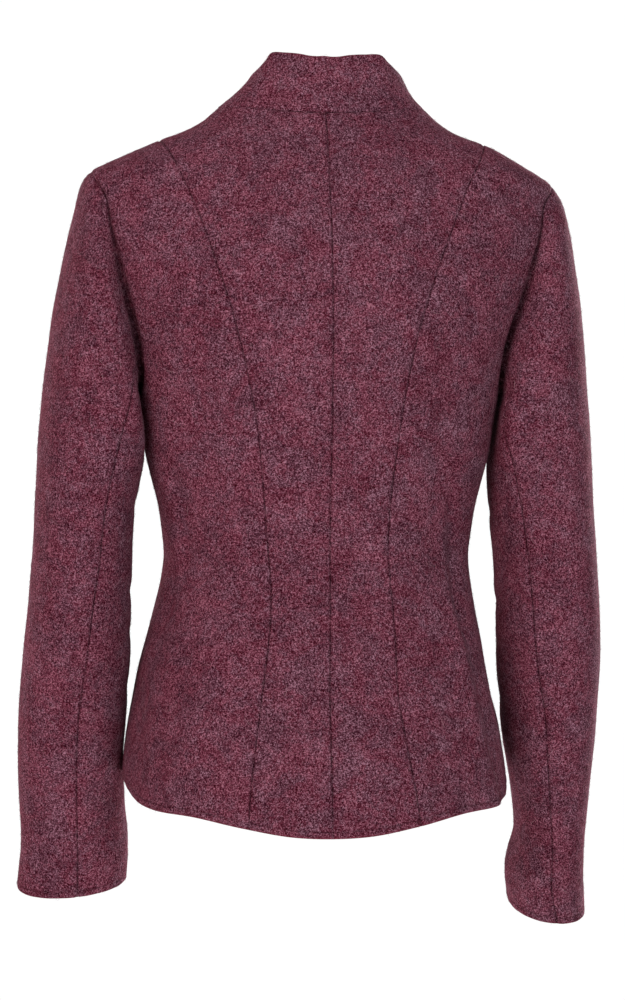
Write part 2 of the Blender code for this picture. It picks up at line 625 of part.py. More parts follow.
def build_collar(wool):
    """A standing collar round the neckline that leans in, open at the centre front."""
    quarter = np.linspace(0, 90, NECK_STEPS + 1)
    half = np.concatenate([quarter, 90 + quarter[1:-1], [COLLAR_END_ANGLE]])
    angles = np.concatenate([-half[:0:-1], half])
    heights = mirrored(angles, NECK, NECK_COLUMNS, "height")
    base, base_normals = skin(angles, heights), skin_normal(angles, heights)
    base[:, 2] += COLLAR_END_LIFT * ease(np.abs(angles), 150, COLLAR_END_ANGLE)
    turned = angles - COLLAR_TURN * np.exp(-((angles / TURN_REACH) ** 2))
    lean = mirrored(turned, COLLAR, COLLAR_COLUMNS, "lean")
    rise = mirrored(turned, COLLAR, COLLAR_COLUMNS, "rise")
    turn = np.radians(angles)
    inward = -np.stack([np.sin(turn), np.cos(turn), 0 * turn], axis=-1)
    up = np.array([0.0, 0.0, 1.0])
    v = np.linspace(0, 1, COLLAR_ROWS + 1)[:, None, None]
    hollow = COLLAR_HOLLOW * np.sin(np.pi * v)
    points = (base[None] + v * rise[None, :, None] * up
              + (v * lean[None, :, None] + hollow) * inward[None])
    points[..., 0] -= COLLAR_SWAY * ease(v[..., 0], 0, 1)
    round_it, raised = np.gradient(points, axis=1), np.gradient(points, axis=0)
    normals = unit(np.cross(round_it, raised))
    normals *= -np.sign(np.sum(normals * inward[None], axis=-1).mean())
    normals[0] = base_normals
    wall("collar", points, normals, ("bottom",), wool("collar"))


def build_button(number, height, material):
    """A turned button, dished on top, lying on the upper front."""
    centre = skin(180.0, np.array(height))
    outward = skin_normal(np.array(180.0), np.array(height))
    radii = column(BUTTON_PROFILE, BUTTON_COLUMNS, "radius") * BUTTON_RADIUS
    levels = column(BUTTON_PROFILE, BUTTON_COLUMNS, "height") * BUTTON_THICKNESS
    mesh = bpy.data.meshes.new(f"button_{number}")
    shape = bmesh.new()
    line = [shape.verts.new((radius, 0, level)) for radius, level in zip(radii, levels)]
    edges = [shape.edges.new(pair) for pair in zip(line, line[1:])]
    bmesh.ops.spin(shape, geom=line + edges, cent=(0, 0, 0), axis=(0, 0, 1),
                   angle=math.tau, steps=BUTTON_STEPS, use_merge=True)
    bmesh.ops.remove_doubles(shape, verts=shape.verts[:], dist=1e-6)
    bmesh.ops.recalc_face_normals(shape, faces=shape.faces[:])
    bmesh.ops.triangulate(shape, faces=shape.faces[:])
    shape.to_mesh(mesh)
    shape.free()
    piece = add_object(f"button_{number}", mesh, material)
    piece.rotation_mode = "QUATERNION"
    piece.rotation_quaternion = Vector(outward.tolist()).to_track_quat("Z", "Y")
    piece.location = (centre + outward * BUTTON_CLEARANCE).tolist()


def main():
    for thing in list(bpy.data.objects):
        bpy.data.objects.remove(thing, do_unlink=True)
    bpy.context.scene.collection.children.link(bpy.data.collections.new(COLLECTION))

    def wool(name):
        return make_material(f"boiled_wool_{name}", WOOL_COLOUR, WOOL_ROUGHNESS)

    for side_name, side in (("left", 1), ("right", -1)):
        loft, turns = sleeve_loft(side_name)
        rim_normals = seam_normals(side_name, loft)
        build_sleeve(side_name, loft, turns, rim_normals, wool)
        build_middle_panel(f"back_{side_name}", side, False, wool)
        build_side_panel(f"side_back_{side_name}", side, False, rim_normals, wool)
        build_side_panel(f"side_front_{side_name}", side, True, rim_normals, wool)
        build_middle_panel(f"front_{side_name}", side, True, wool)
    build_collar(wool)
    for number, height in enumerate(BUTTON_HEIGHTS, 1):
        build_button(number, height,
                     make_material(f"button_{number}", BUTTON_COLOUR, BUTTON_ROUGHNESS))


main()
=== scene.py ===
import math

import bpy
import numpy as np
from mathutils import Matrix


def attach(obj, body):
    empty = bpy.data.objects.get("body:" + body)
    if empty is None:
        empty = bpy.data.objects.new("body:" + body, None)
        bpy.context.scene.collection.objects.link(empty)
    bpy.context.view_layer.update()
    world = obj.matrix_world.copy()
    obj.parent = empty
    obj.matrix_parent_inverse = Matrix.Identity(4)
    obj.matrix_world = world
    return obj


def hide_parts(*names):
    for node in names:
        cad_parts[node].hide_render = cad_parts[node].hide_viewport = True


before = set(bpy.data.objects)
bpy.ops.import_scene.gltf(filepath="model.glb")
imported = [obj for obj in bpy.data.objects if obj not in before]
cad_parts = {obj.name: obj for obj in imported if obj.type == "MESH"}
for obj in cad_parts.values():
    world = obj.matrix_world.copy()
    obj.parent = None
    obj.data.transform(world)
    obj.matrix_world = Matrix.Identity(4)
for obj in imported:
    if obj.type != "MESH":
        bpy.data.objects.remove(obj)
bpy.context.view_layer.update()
print("frame loaded:", len(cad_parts), "nodes")

# The camera looks level from behind, turned 7 degrees off the centre back.
view = {"place": (0.346, 2.7786, -0.339), "turn": 173, "lens": 115.85, "sensor": 36}
cameraData = bpy.data.cameras.new("camera")
cameraData.lens = view["lens"]
cameraData.sensor_width = view["sensor"]
camera = bpy.data.objects.new("camera", cameraData)
camera.location = view["place"]
camera.rotation_euler = (math.radians(90), 0, math.radians(view["turn"]))
bpy.context.scene.collection.objects.link(camera)
bpy.context.scene.camera = camera


# Small helpers for curves and directions.
def curveThrough(x, knots, values):
    # cubic through the knots, each slope the average of its two chords, flat past the ends
    order = np.argsort(knots)
    knots, values = np.asarray(knots, float)[order], np.asarray(values, float)[order]
    x = np.clip(np.asarray(x, float), knots[0], knots[-1])
    gaps = np.diff(knots)
    shape = (-1,) + (1,) * (values.ndim - 1)
    chords = np.diff(values, axis=0) / gaps.reshape(shape)
    slopes = np.empty_like(values)
    slopes[0], slopes[-1] = chords[0], chords[-1]
    before, after = gaps[:-1].reshape(shape), gaps[1:].reshape(shape)
    slopes[1:-1] = (after * chords[:-1] + before * chords[1:]) / (before + after)
    at = np.clip(np.searchsorted(knots, x, side="right") - 1, 0, len(gaps) - 1)
    spread = x.shape + (1,) * (values.ndim - 1)
    wide, u = gaps[at].reshape(spread), ((x - knots[at]) / gaps[at]).reshape(spread)
    return (values[at] * (1 + 2 * u) * (1 - u) ** 2 + values[at + 1] * (3 - 2 * u) * u**2
            + wide * (slopes[at] * u * (1 - u) ** 2 - slopes[at + 1] * u**2 * (1 - u)))


def easeBetween(x, low, high):
    # 0 below low, 1 above high, 3t^2 - 2t^3 between
    t = np.clip((np.asarray(x, float) - low) / (high - low), 0, 1)
    return t * t * (3 - 2 * t)


def bell(away, width):
    # 1 at the middle, falling off evenly on both sides
    return np.exp(-((away / width) ** 2))


def unitOf(vectors):
    return vectors / np.maximum(np.linalg.norm(vectors, axis=-1, keepdims=True), 1e-12)


def lengthOf(vectors):
    return np.linalg.norm(vectors, axis=-1)


def joined(*columns):
    return np.stack(columns, axis=-1)


def rowsOf(table, rows="rows", columns="columns"):
    # each row of a table of settings as a dictionary
    return [dict(zip(table[columns], row)) for row in table[rows]]


def columnOf(table, name):
    return np.array([row[name] for row in rowsOf(table)], float)


def alikeBothSides(angle, table, name):
    # a value given from 0 to 180 degrees, carried over both middles so that it is smooth there
    knots, values = columnOf(table, "angle"), columnOf(table, name)
    knots = np.concatenate([-knots[2:0:-1], knots, 360 - knots[-2:-4:-1]])
    values = np.concatenate([values[2:0:-1], values, values[-2:-4:-1]])
    return curveThrough(np.abs(angle), knots, values)


def hexColour(code):
    # sRGB hex to linear red, green, blue, alpha
    parts = [int(code[i:i + 2], 16) / 255 for i in (1, 3, 5)]
    return (*[p / 12.92 if p <= 0.04045 else ((p + 0.055) / 1.055) ** 2.4 for p in parts], 1)


# The body's cloth as one skin: a stack of rounded rings with soft folds.
bodyRings = {
    "columns": ("height", "halfWidth", "back", "front", "side", "square"),
    "rows": (
        (0.006, 0.0815, 0.0465, -0.0585, 0, 2.2), (-0.001, 0.089, 0.05, -0.062, 0, 2.2),
        (-0.01, 0.099, 0.055, -0.069, 0, 2.2), (-0.02, 0.1155, 0.0605, -0.076, 0, 2.2),
        (-0.03, 0.1415, 0.066, -0.084, 0, 2.2), (-0.042, 0.169, 0.071, -0.091, 0, 2.2),
        (-0.056, 0.1975, 0.077, -0.098, 0, 2.3), (-0.08, 0.2035, 0.086, -0.108, 0, 2.3),
        (-0.11, 0.2015, 0.095, -0.118, 0, 2.3), (-0.14, 0.193, 0.101, -0.128, 0, 2.3),
        (-0.17, 0.18, 0.105, -0.137, 0, 2.3), (-0.2, 0.168, 0.106, -0.144, 0, 2.3),
        (-0.235, 0.1595, 0.104, -0.148, -0.002, 2.3),
        (-0.265, 0.1543, 0.1005, -0.146, -0.004, 2.3), (-0.297, 0.15, 0.095, -0.138, -0.005, 2.3),
        (-0.322, 0.1439, 0.0905, -0.128, -0.006, 2.3),
        (-0.346, 0.1376, 0.087, -0.1185, -0.008, 2.3), (-0.37, 0.134, 0.085, -0.112, -0.01, 2.3),
        (-0.383, 0.1328, 0.0848, -0.11, -0.012, 2.3), (-0.407, 0.1348, 0.088, -0.11, -0.018, 2.4),
        (-0.431, 0.1395, 0.094, -0.111, -0.022, 2.5), (-0.456, 0.145, 0.1005, -0.112, -0.024, 2.6),
        (-0.48, 0.1505, 0.107, -0.113, -0.025, 2.6), (-0.517, 0.1568, 0.1165, -0.115, -0.025, 2.6),
        (-0.553, 0.1622, 0.125, -0.117, -0.024, 2.5), (-0.59, 0.1655, 0.1315, -0.119, -0.02, 2.5),
        (-0.63, 0.1675, 0.137, -0.121, -0.018, 2.5),
    ),
}
bodyFolds = {
    "columns": ("side", "low", "lowAngle", "high", "highAngle", "width", "depth"),
    "rows": (
        (1, -0.44, 57, -0.19, 55, 9, 0.004), (-1, -0.45, 55, -0.2, 52, 9, 0.0045),
        (1, -0.395, 64, -0.3, 69, 5, 0.0035), (-1, -0.405, 68, -0.33, 66, 5, 0.0025),
        (1, -0.6, 40, -0.48, 47, 8, -0.0025), (-1, -0.6, 44, -0.45, 50, 7, -0.003),
        (1, -0.61, 70, -0.47, 74, 7, 0.0025), (-1, -0.61, 74, -0.47, 78, 7, 0.003),
        (1, -0.42, 128, -0.24, 124, 8, 0.004), (-1, -0.42, 126, -0.24, 126, 8, 0.0035),
        (1, -0.58, 142, -0.47, 138, 8, 0.002), (-1, -0.585, 138, -0.48, 141, 8, 0.0025),
    ),
    "starts": (-0.12, 0.35),
    "ends": (0.65, 1.12),
}
uneven = {
    "shoulderReach": 0.005, "reachFrom": 0.03, "reachTo": 0.09,
    "shoulderDrop": 0.0065, "dropFrom": 0.14, "dropTo": 0.205,
    "low": -0.24, "high": -0.09,
    "skirtSway": 0.004, "swayHigh": -0.39, "swayLow": -0.52,
}


def ringSize(height, name):
    return curveThrough(height, columnOf(bodyRings, "height"), columnOf(bodyRings, name))


def foldDepth(angle, height):
    # each fold is a bell across its line, faded in and out along it
    inward = np.zeros(np.broadcast(angle, height).shape)
    for fold in rowsOf(bodyFolds):
        along = (height - fold["low"]) / (fold["high"] - fold["low"])
        swing = fold["highAngle"] - fold["lowAngle"]
        middle = fold["side"] * (fold["lowAngle"] + swing * along)
        fade = easeBetween(along, *bodyFolds["starts"])
        fade = fade * (1 - easeBetween(along, *bodyFolds["ends"]))
        inward = inward + fold["depth"] * fade * bell(angle - middle, fold["width"])
    return inward


def bodySkin(angle, height):
    # a ring is |x / half width|^n + |y / depth|^n = 1 about its own side line, less the folds
    angle, height = np.broadcast_arrays(np.asarray(angle, float), np.asarray(height, float))
    across, along = np.sin(np.radians(angle)), np.cos(np.radians(angle))
    side, square = ringSize(height, "side"), ringSize(height, "square")
    depth = np.where(along > 0, ringSize(height, "back") - side, side - ringSize(height, "front"))
    reach = (np.abs(across / ringSize(height, "halfWidth")) ** square
             + np.abs(along / depth) ** square) ** (-1 / square)
    reach = reach - foldDepth(angle, height)
    x, y = reach * across, side + reach * along
    upper = easeBetween(height, uneven["low"], uneven["high"])
    drop = uneven["shoulderDrop"] * easeBetween(-x, uneven["dropFrom"], uneven["dropTo"]) * upper
    out = uneven["shoulderReach"] * easeBetween(-x, uneven["reachFrom"], uneven["reachTo"]) * upper
    sway = uneven["skirtSway"] * (1 - easeBetween(height, uneven["swayLow"], uneven["swayHigh"]))
    return joined(x - out + sway, y, height - drop)


def bodyNormal(angle, height):
    turned = bodySkin(angle + 0.05, height) - bodySkin(angle - 0.05, height)
    raised = bodySkin(angle, height + 1e-4) - bodySkin(angle, height - 1e-4)
    return unitOf(np.cross(raised, turned))


# Where the panels are cut from the skin.
hemLine = {
    "columns": ("angle", "height"),
    "rows": ((0, -0.62), (12, -0.6185), (28, -0.611), (42, -0.6035), (58, -0.6),
             (70, -0.594), (80, -0.5855), (90, -0.579), (110, -0.574), (140, -0.576),
             (180, -0.582)),
}
neckLine = {
    "columns": ("angle", "height"),
    "rows": ((0, -0.008), (40, -0.006), (70, -0.002), (90, -0.001), (115, -0.014),
             (145, -0.04), (180, -0.054)),
}
shapedSeams = {
    "columns": ("height", "backLeft", "backRight", "front"),
    "rows": (
        (-0.62, 0.07, 0.0765, 0.088), (-0.585, 0.068, 0.072, 0.086), (-0.545, 0.063, 0.065, 0.083),
        (-0.5, 0.0565, 0.0585, 0.079), (-0.455, 0.0515, 0.056, 0.074), (-0.42, 0.05, 0.053, 0.071),
        (-0.383, 0.0525, 0.0505, 0.069), (-0.335, 0.0565, 0.0525, 0.072),
        (-0.29, 0.0612, 0.0575, 0.079), (-0.25, 0.068, 0.063, 0.088),
        (-0.21, 0.0768, 0.0705, 0.095), (-0.18, 0.0845, 0.0773, 0.098),
        (-0.14, 0.097, 0.0887, 0.103), (-0.1, 0.11, 0.1035, 0.111), (-0.07, 0.122, 0.116, 0.121),
        (-0.045, 0.132, 0.13, 0.131),
    ),
    "top": -0.029,
    "shoulderTip": -0.056,
}
armholeLine = {
    "columns": ("turn", "height", "backAngle", "frontAngle"),
    "rows": (
        (0, -0.056, 90.0, 90.0), (15, -0.059, 84.8, 95.5), (30, -0.067, 81.2, 100.0),
        (45, -0.0818, 77.6, 104.0), (60, -0.1028, 75.8, 107.5), (75, -0.1265, 74.4, 110.5),
        (90, -0.1515, 74.2, 112.0), (105, -0.1765, 74.8, 112.0), (120, -0.2, 75.6, 110.5),
        (135, -0.221, 77.2, 107.5), (150, -0.236, 79.5, 103.0), (165, -0.2445, 84.5, 97.0),
        (180, -0.247, 90.0, 90.0),
    ),
}
cloth = {
    "wall": 0.0025,  # felted cloth
    "gap": 0.00004,  # between two pieces at a seam, so that no light shows through it
    "foldRadius": 0.0012,  # of a hem, cuff or turned edge
    "seamSink": 0.00095, "seamSinkWidth": 0.0013,
    "allowanceRise": 0.00022, "allowanceFrom": 0.003, "allowanceTo": 0.0105,
    "pucker": 0.00016,
    "hemStitch": 0.0056, "hemStitchDepth": 0.00055, "hemStitchWidth": 0.0008,
    "hemDepth": 0.025, "hemRise": 0.00045, "hemStitchShade": 0.65, "seamShadeWidth": 0.0007,
    "unevenness": 0.0006,
    "pitch": 0.0036, "pitchLow": 0.0048, "pitchHigh": 0.0042,
    "edgeSteps": (0, 0.0003, 0.0009, 0.0017, 0.0028, 0.0043, 0.0065, 0.0095),
    "hemSteps": (0, 0.0003, 0.0009, 0.0018, 0.003, 0.0042, 0.005, 0.0056, 0.0062, 0.007,
                 0.0084, 0.0105, 0.014, 0.018, 0.0215, 0.024, 0.026, 0.0285),
}
middleParts = {"neckShare": 0.7, "lap": 0.02, "lapStep": 0.0032, "lapAngles": (156.0, 168.0),
               "lapNeckDrop": 0.002, "hemFade": 4, "topFade": 8, "crowding": 1.25}


def armholeAt(turn):
    # height and angle round the armhole; the turn runs from the shoulder tip over the back
    knots, height, back, front = (columnOf(armholeLine, n) for n in armholeLine["columns"])
    knots = np.concatenate([knots, 360 - knots[-2::-1]])
    height = np.concatenate([height, height[-2::-1]])
    angle = np.concatenate([back, front[-2::-1]])
    knots = np.concatenate([knots[-3:-1] - 360, knots, knots[1:3] + 360])
    height = np.concatenate([height[-3:-1], height, height[1:3]])
    angle = np.concatenate([angle[-3:-1], angle, angle[1:3]])
    turn = np.mod(turn, 360)
    return curveThrough(turn, knots, angle), curveThrough(turn, knots, height)


def angleAt(distance, height, front=False):
    # where the ring passes this far from the middle
    wide, square, side = (ringSize(height, n) for n in ("halfWidth", "square", "side"))
    depth = side - ringSize(height, "front") if front else ringSize(height, "back") - side
    along = depth * np.maximum(1 - (distance / wide) ** square, 0) ** (1 / square)
    angle = np.degrees(np.arctan2(distance, along))
    return 180 - angle if front else angle


def spacedSteps(length, steps, pitch, lastSteps=None):
    # 0 to 1: the given close steps at the start, then even ones, then close ones at the end
    first = np.array(steps) / length
    last = 1 - np.array(lastSteps)[::-1] / length if lastSteps is not None else np.array([1.0])
    count = max(2, int(round((last[0] - first[-1]) * length / pitch)))
    return np.concatenate([first, np.linspace(first[-1], last[0], count + 1)[1:-1], last])


# places up a seam, 0 to 1: from the hem to the underarm, and from there to the shoulder
lowPlaces = spacedSteps(0.35, cloth["hemSteps"], cloth["pitchLow"])
highPlaces = spacedSteps(0.215, (0, 0.004), cloth["pitchHigh"], (0, 0.0003, 0.0009, 0.0018, 0.003))
chestHeight = armholeLine["rows"][-1][1]


def seamHeights(hem, top):
    crowded = 1 - (1 - highPlaces) ** middleParts["crowding"]
    return np.concatenate([hem + (chestHeight - hem) * lowPlaces,
                           chestHeight + (top - chestHeight) * crowded[1:]])


def middleSeam(angle):
    heights = seamHeights(float(alikeBothSides(angle, hemLine, "height")),
                          float(alikeBothSides(angle, neckLine, "height")))
    return joined(np.full_like(heights, angle), heights)


def shapedSeam(side, front):
    name = "front" if front else {1: "backLeft", -1: "backRight"}[side]

    def distance(height):
        return curveThrough(height, columnOf(shapedSeams, "height"), columnOf(shapedSeams, name))

    topHeight, near = shapedSeams["top"], shapedSeams["rows"][-1][0]
    hem = hemLine["rows"][0][1]
    for _ in range(6):
        hem = float(alikeBothSides(angleAt(distance(hem), hem, front), hemLine, "height"))
    heights = seamHeights(hem, topHeight)
    top = float(ringSize(topHeight, "halfWidth"))
    straight = distance(near) + (top - distance(near)) * (heights - near) / (topHeight - near)
    reach = np.where(heights > near, straight, distance(heights))
    angles = angleAt(np.minimum(reach, ringSize(heights, "halfWidth")), heights, front)
    angles = np.where(heights >= topHeight, 90.0, angles)
    return joined(angles, heights)


def sideEdge(front):
    # up the side seam to the underarm, then up the armhole to the shoulder tip
    hem = float(alikeBothSides(90, hemLine, "height"))
    heights = hem + (chestHeight - hem) * lowPlaces
    turns = 180 * (1 - highPlaces[1:])
    angles, holes = armholeAt(360 - turns if front else turns)
    return joined(np.concatenate([np.full_like(heights, 90.0), angles]),
                  np.concatenate([heights, holes]))


def hemEdge(angles):
    return joined(angles, alikeBothSides(angles, hemLine, "height"))


def neckAndShoulder(share, middle):
    # along the neckline for the first share, then down the shoulder seam
    part = np.clip(share / middleParts["neckShare"], 0, 1)
    angles = middle + (90 - middle) * part
    heights = alikeBothSides(angles, neckLine, "height")
    neckEnd = float(alikeBothSides(90, neckLine, "height"))
    down = np.clip((share - middleParts["neckShare"]) / (1 - middleParts["neckShare"]), 0, 1)
    heights = np.where(share > middleParts["neckShare"],
                       neckEnd + (shapedSeams["top"] - neckEnd) * down, heights)
    return joined(angles, heights)


def panelShares(widths, corner=None):
    # 0 to 1 across each row, close together at both edges; a corner share is kept exactly
    steps = np.array(cloth["edgeSteps"])
    first = steps[None] / widths[:, None]
    last = 1 - steps[None, ::-1] / widths[:, None]
    room = float(np.max(widths))
    if corner is None:
        count = max(4, int(round(room / cloth["pitch"])))
        k = np.linspace(0, 1, count + 1)[1:-1]
        middle = first[:, -1:] + (last[:, :1] - first[:, -1:]) * k[None]
    else:
        lower = int(room * corner / cloth["pitch"])
        upper = int(room * (1 - corner) / cloth["pitch"]) + 2
        k, m = np.linspace(0, 1, lower + 1)[1:], np.linspace(0, 1, upper + 1)[1:-1]
        middle = np.concatenate([first[:, -1:] + (corner - first[:, -1:]) * k[None],
                                 corner + (last[:, :1] - corner) * m[None]], axis=1)
    return np.concatenate([first, middle, last], axis=1)


def panelPlaces(near, far, shares, bottomOf, topOf):
    # even between the two sides, plus the bottom's and top's own shapes, which fade quickly
    crowded = 1 - (1 - highPlaces) ** middleParts["crowding"]
    t = np.concatenate([lowPlaces / 2, 0.5 + crowded[1:] / 2])[:, None, None]
    s = shares[..., None]
    even = (1 - s) * near[:, None] + s * far[:, None]
    ends = np.array([0.0, 1.0])
    bottomEnds, topEnds = bottomOf(ends), topOf(ends)
    lower = bottomOf(shares) - (1 - s) * bottomEnds[0] - s * bottomEnds[1]
    upper = topOf(shares) - (1 - s) * topEnds[0] - s * topEnds[1]
    fade = (1 - t) ** middleParts["hemFade"]
    return even + fade * lower + t ** middleParts["topFade"] * upper


# Relief of the cloth: seams, turned edges, listed creases and a slight unevenness.
creases = {
    "columns": ("face", "fromX", "fromZ", "toX", "toZ", "width", "depth"),
    "rows": (
        # back, by the left waist
        ("back", 0.1355, -0.303, 0.1173, -0.356, 0.0038, 0.0019),
        ("back", 0.12, -0.36, 0.1168, -0.4, 0.0055, 0.0032),
        ("back", 0.129, -0.408, 0.1467, -0.48, 0.0072, 0.003),
        ("back", 0.1202, -0.45, 0.1331, -0.53, 0.0095, 0.0018),
        # back, by the right waist: a trough, then a ridge with a steep far side
        ("back", -0.1078, -0.325, -0.1165, -0.455, 0.0056, 0.0042),
        ("back", -0.0985, -0.398, -0.1535, -0.66, 0.0105, -0.0052),
        ("back", -0.11, -0.41, -0.163, -0.66, 0.0066, 0.0042),
        ("back", -0.088, -0.4, -0.108, -0.388, 0.008, 0.0012),
        # back, below the armholes and across the blades
        ("back", 0.15, -0.215, 0.118, -0.29, 0.01, 0.0012),
        ("back", -0.148, -0.22, -0.118, -0.3, 0.011, 0.0014),
        ("back", 0.045, -0.35, 0.038, -0.47, 0.013, 0.001),
        ("back", -0.024, -0.35, -0.03, -0.46, 0.014, 0.0008),
        # right side, a fold of the hip that shows past the back
        ("side", -0.157, -0.49, -0.165, -0.7, 0.015, -0.0062),
        # front
        ("front", 0.115, -0.29, 0.098, -0.38, 0.011, 0.0018),
        ("front", -0.115, -0.28, -0.1, -0.39, 0.012, 0.0018),
        ("front", 0.118, -0.44, 0.13, -0.55, 0.012, 0.0012),
        ("front", -0.116, -0.45, -0.132, -0.56, 0.012, 0.0014),
        ("front", 0.03, -0.33, 0.026, -0.44, 0.013, 0.001),
        ("front", -0.04, -0.34, -0.034, -0.45, 0.013, 0.001),
    ),
}


# the groove's shade and its width paint shade along the lower armhole seam, where the sleeve shadows the
# body
groove = {"turns": (38, 120), "depth": 0.0036, "sleeveWidth": 0.0085, "bodyWidth": 0.0034,
          "shade": 1.1, "shadeWidth": 0.0042}


def creaseDepth(points):
    # a bell across each line in the x-z plane, kept to its own face of the body
    depth = np.zeros(points.shape[:-1])
    x, y, z = points[..., 0], points[..., 1], points[..., 2]
    for crease in rowsOf(creases):
        dx, dz = crease["toX"] - crease["fromX"], crease["toZ"] - crease["fromZ"]
        square = dx * dx + dz * dz
        along = ((x - crease["fromX"]) * dx + (z - crease["fromZ"]) * dz) / square
        inside = np.clip(along, 0, 1)
        away = np.hypot(x - crease["fromX"] - inside * dx, z - crease["fromZ"] - inside * dz)
        side = {"back": easeBetween(y, 0.0, 0.03), "front": easeBetween(-y, 0.0, 0.03),
                "side": 1.0}[crease["face"]]
        fade = easeBetween(along, -0.15, 0.25) * (1 - easeBetween(along, 0.75, 1.15))
        depth = depth + crease["depth"] * fade * side * bell(away, crease["width"])
    return depth


def armholeGroove(points, width):
    # both sides of the armhole seam sink together, most where the sleeve hangs off the body; it also
    # gives a painted shade along that seam, for the shadow the sleeve casts between itself and the body
    turns = np.arange(0, 360, 2.0)
    hang = easeBetween(np.minimum(turns, 360 - turns), *groove["turns"])
    angles, heights = armholeAt(turns)
    strength, away = np.zeros(points.shape[:-1]), np.full(points.shape[:-1], 9.0)
    for side in (1, -1):
        line = bodySkin(side * angles, heights)
        for number, row in enumerate(points):
            gaps = lengthOf(row[:, None] - line[None])
            nearest = gaps.argmin(axis=1)
            closer = gaps.min(axis=1) < away[number]
            away[number] = np.where(closer, gaps.min(axis=1), away[number])
            strength[number] = np.where(closer, hang[nearest], strength[number])
    # painted shade, darkest at the seam and where the sleeve hangs off the body
    shade = groove["shade"] * strength * bell(away, groove["shadeWidth"])
    return groove["depth"] * strength * bell(away, width), shade


def unevenDepth(points):
    # a few long waves of different directions, 50 to 140 mm
    x, y, z = points[..., 0], points[..., 1], points[..., 2]
    waves = (np.sin(61 * x + 38 * z + 1.3) + np.sin(47 * z - 33 * y + 0.4)
             + 0.7 * np.sin(93 * x - 52 * z + 2.1) + 0.6 * np.sin(118 * z + 41 * x - 60 * y))
    return cloth["unevenness"] * waves / 3.3


def wave(along, length, shift):
    return np.sin(2 * np.pi * along / length + shift)


def seamRelief(away, along, salt):
    # sunk at the stitching, slightly raised over the allowance, with small puckers
    sink = cloth["seamSink"] * bell(away, cloth["seamSinkWidth"])
    rise = cloth["allowanceRise"] * easeBetween(away, 0.0012, cloth["allowanceFrom"])
    rise = rise * (1 - easeBetween(away, cloth["allowanceTo"] - 0.003, cloth["allowanceTo"] + 0.003))
    waves = (wave(along, 0.0135, salt) + wave(along, 0.0221, 2 * salt)
             + 0.8 * wave(along, 0.0071, 3 * salt))
    return rise - sink + cloth["pucker"] * waves * bell(away - 0.0025, 0.003)


def turnedEdge(away, radius):
    # a quarter round: the surface falls in towards the edge
    inside = np.clip(radius - away, 0, radius)
    return radius - np.sqrt(np.maximum(radius**2 - inside**2, 0))


def hemRelief(away, along, salt):
    # a stitched line near the edge, and the soft upper end of the turned-up cloth
    line = cloth["hemStitchDepth"] * bell(away - cloth["hemStitch"], cloth["hemStitchWidth"])
    line = line * (0.75 + 0.25 * wave(along, 0.006, salt))
    level = cloth["hemDepth"] + 0.0012 * wave(along, 0.061, salt)
    rise = cloth["hemRise"] * (1 - easeBetween(away, level - 0.0025, level + 0.0025))
    rise = rise * (0.65 + 0.35 * wave(along, 0.093, 2 * salt))
    return rise + 0.00012 * wave(along, 0.017, salt) * bell(away, 0.006) - line


def drawnIn(points, normals, edge):
    # moves one edge of a grid in by half of the seam's gap
    line, inner = {"near": ((slice(None), 0), (slice(None), 8)),
                   "far": ((slice(None), -1), (slice(None), -9)),
                   "bottom": ((0, slice(None)), (6, slice(None))),
                   "top": ((-1, slice(None)), (-6, slice(None)))}[edge]
    along = np.gradient(points[line], axis=0)
    across = unitOf(np.cross(normals[line], along))
    inward = np.sum(across * (points[inner] - points[line]), axis=-1).sum()
    return line, across * math.copysign(cloth["gap"] / 2, inward)


outerSkins = {}  # each cloth piece's outer grid, which the loose fibres stand on


sewnAllRound = {"near": "seam", "far": "seam", "top": "seam", "bottom": "hem"}


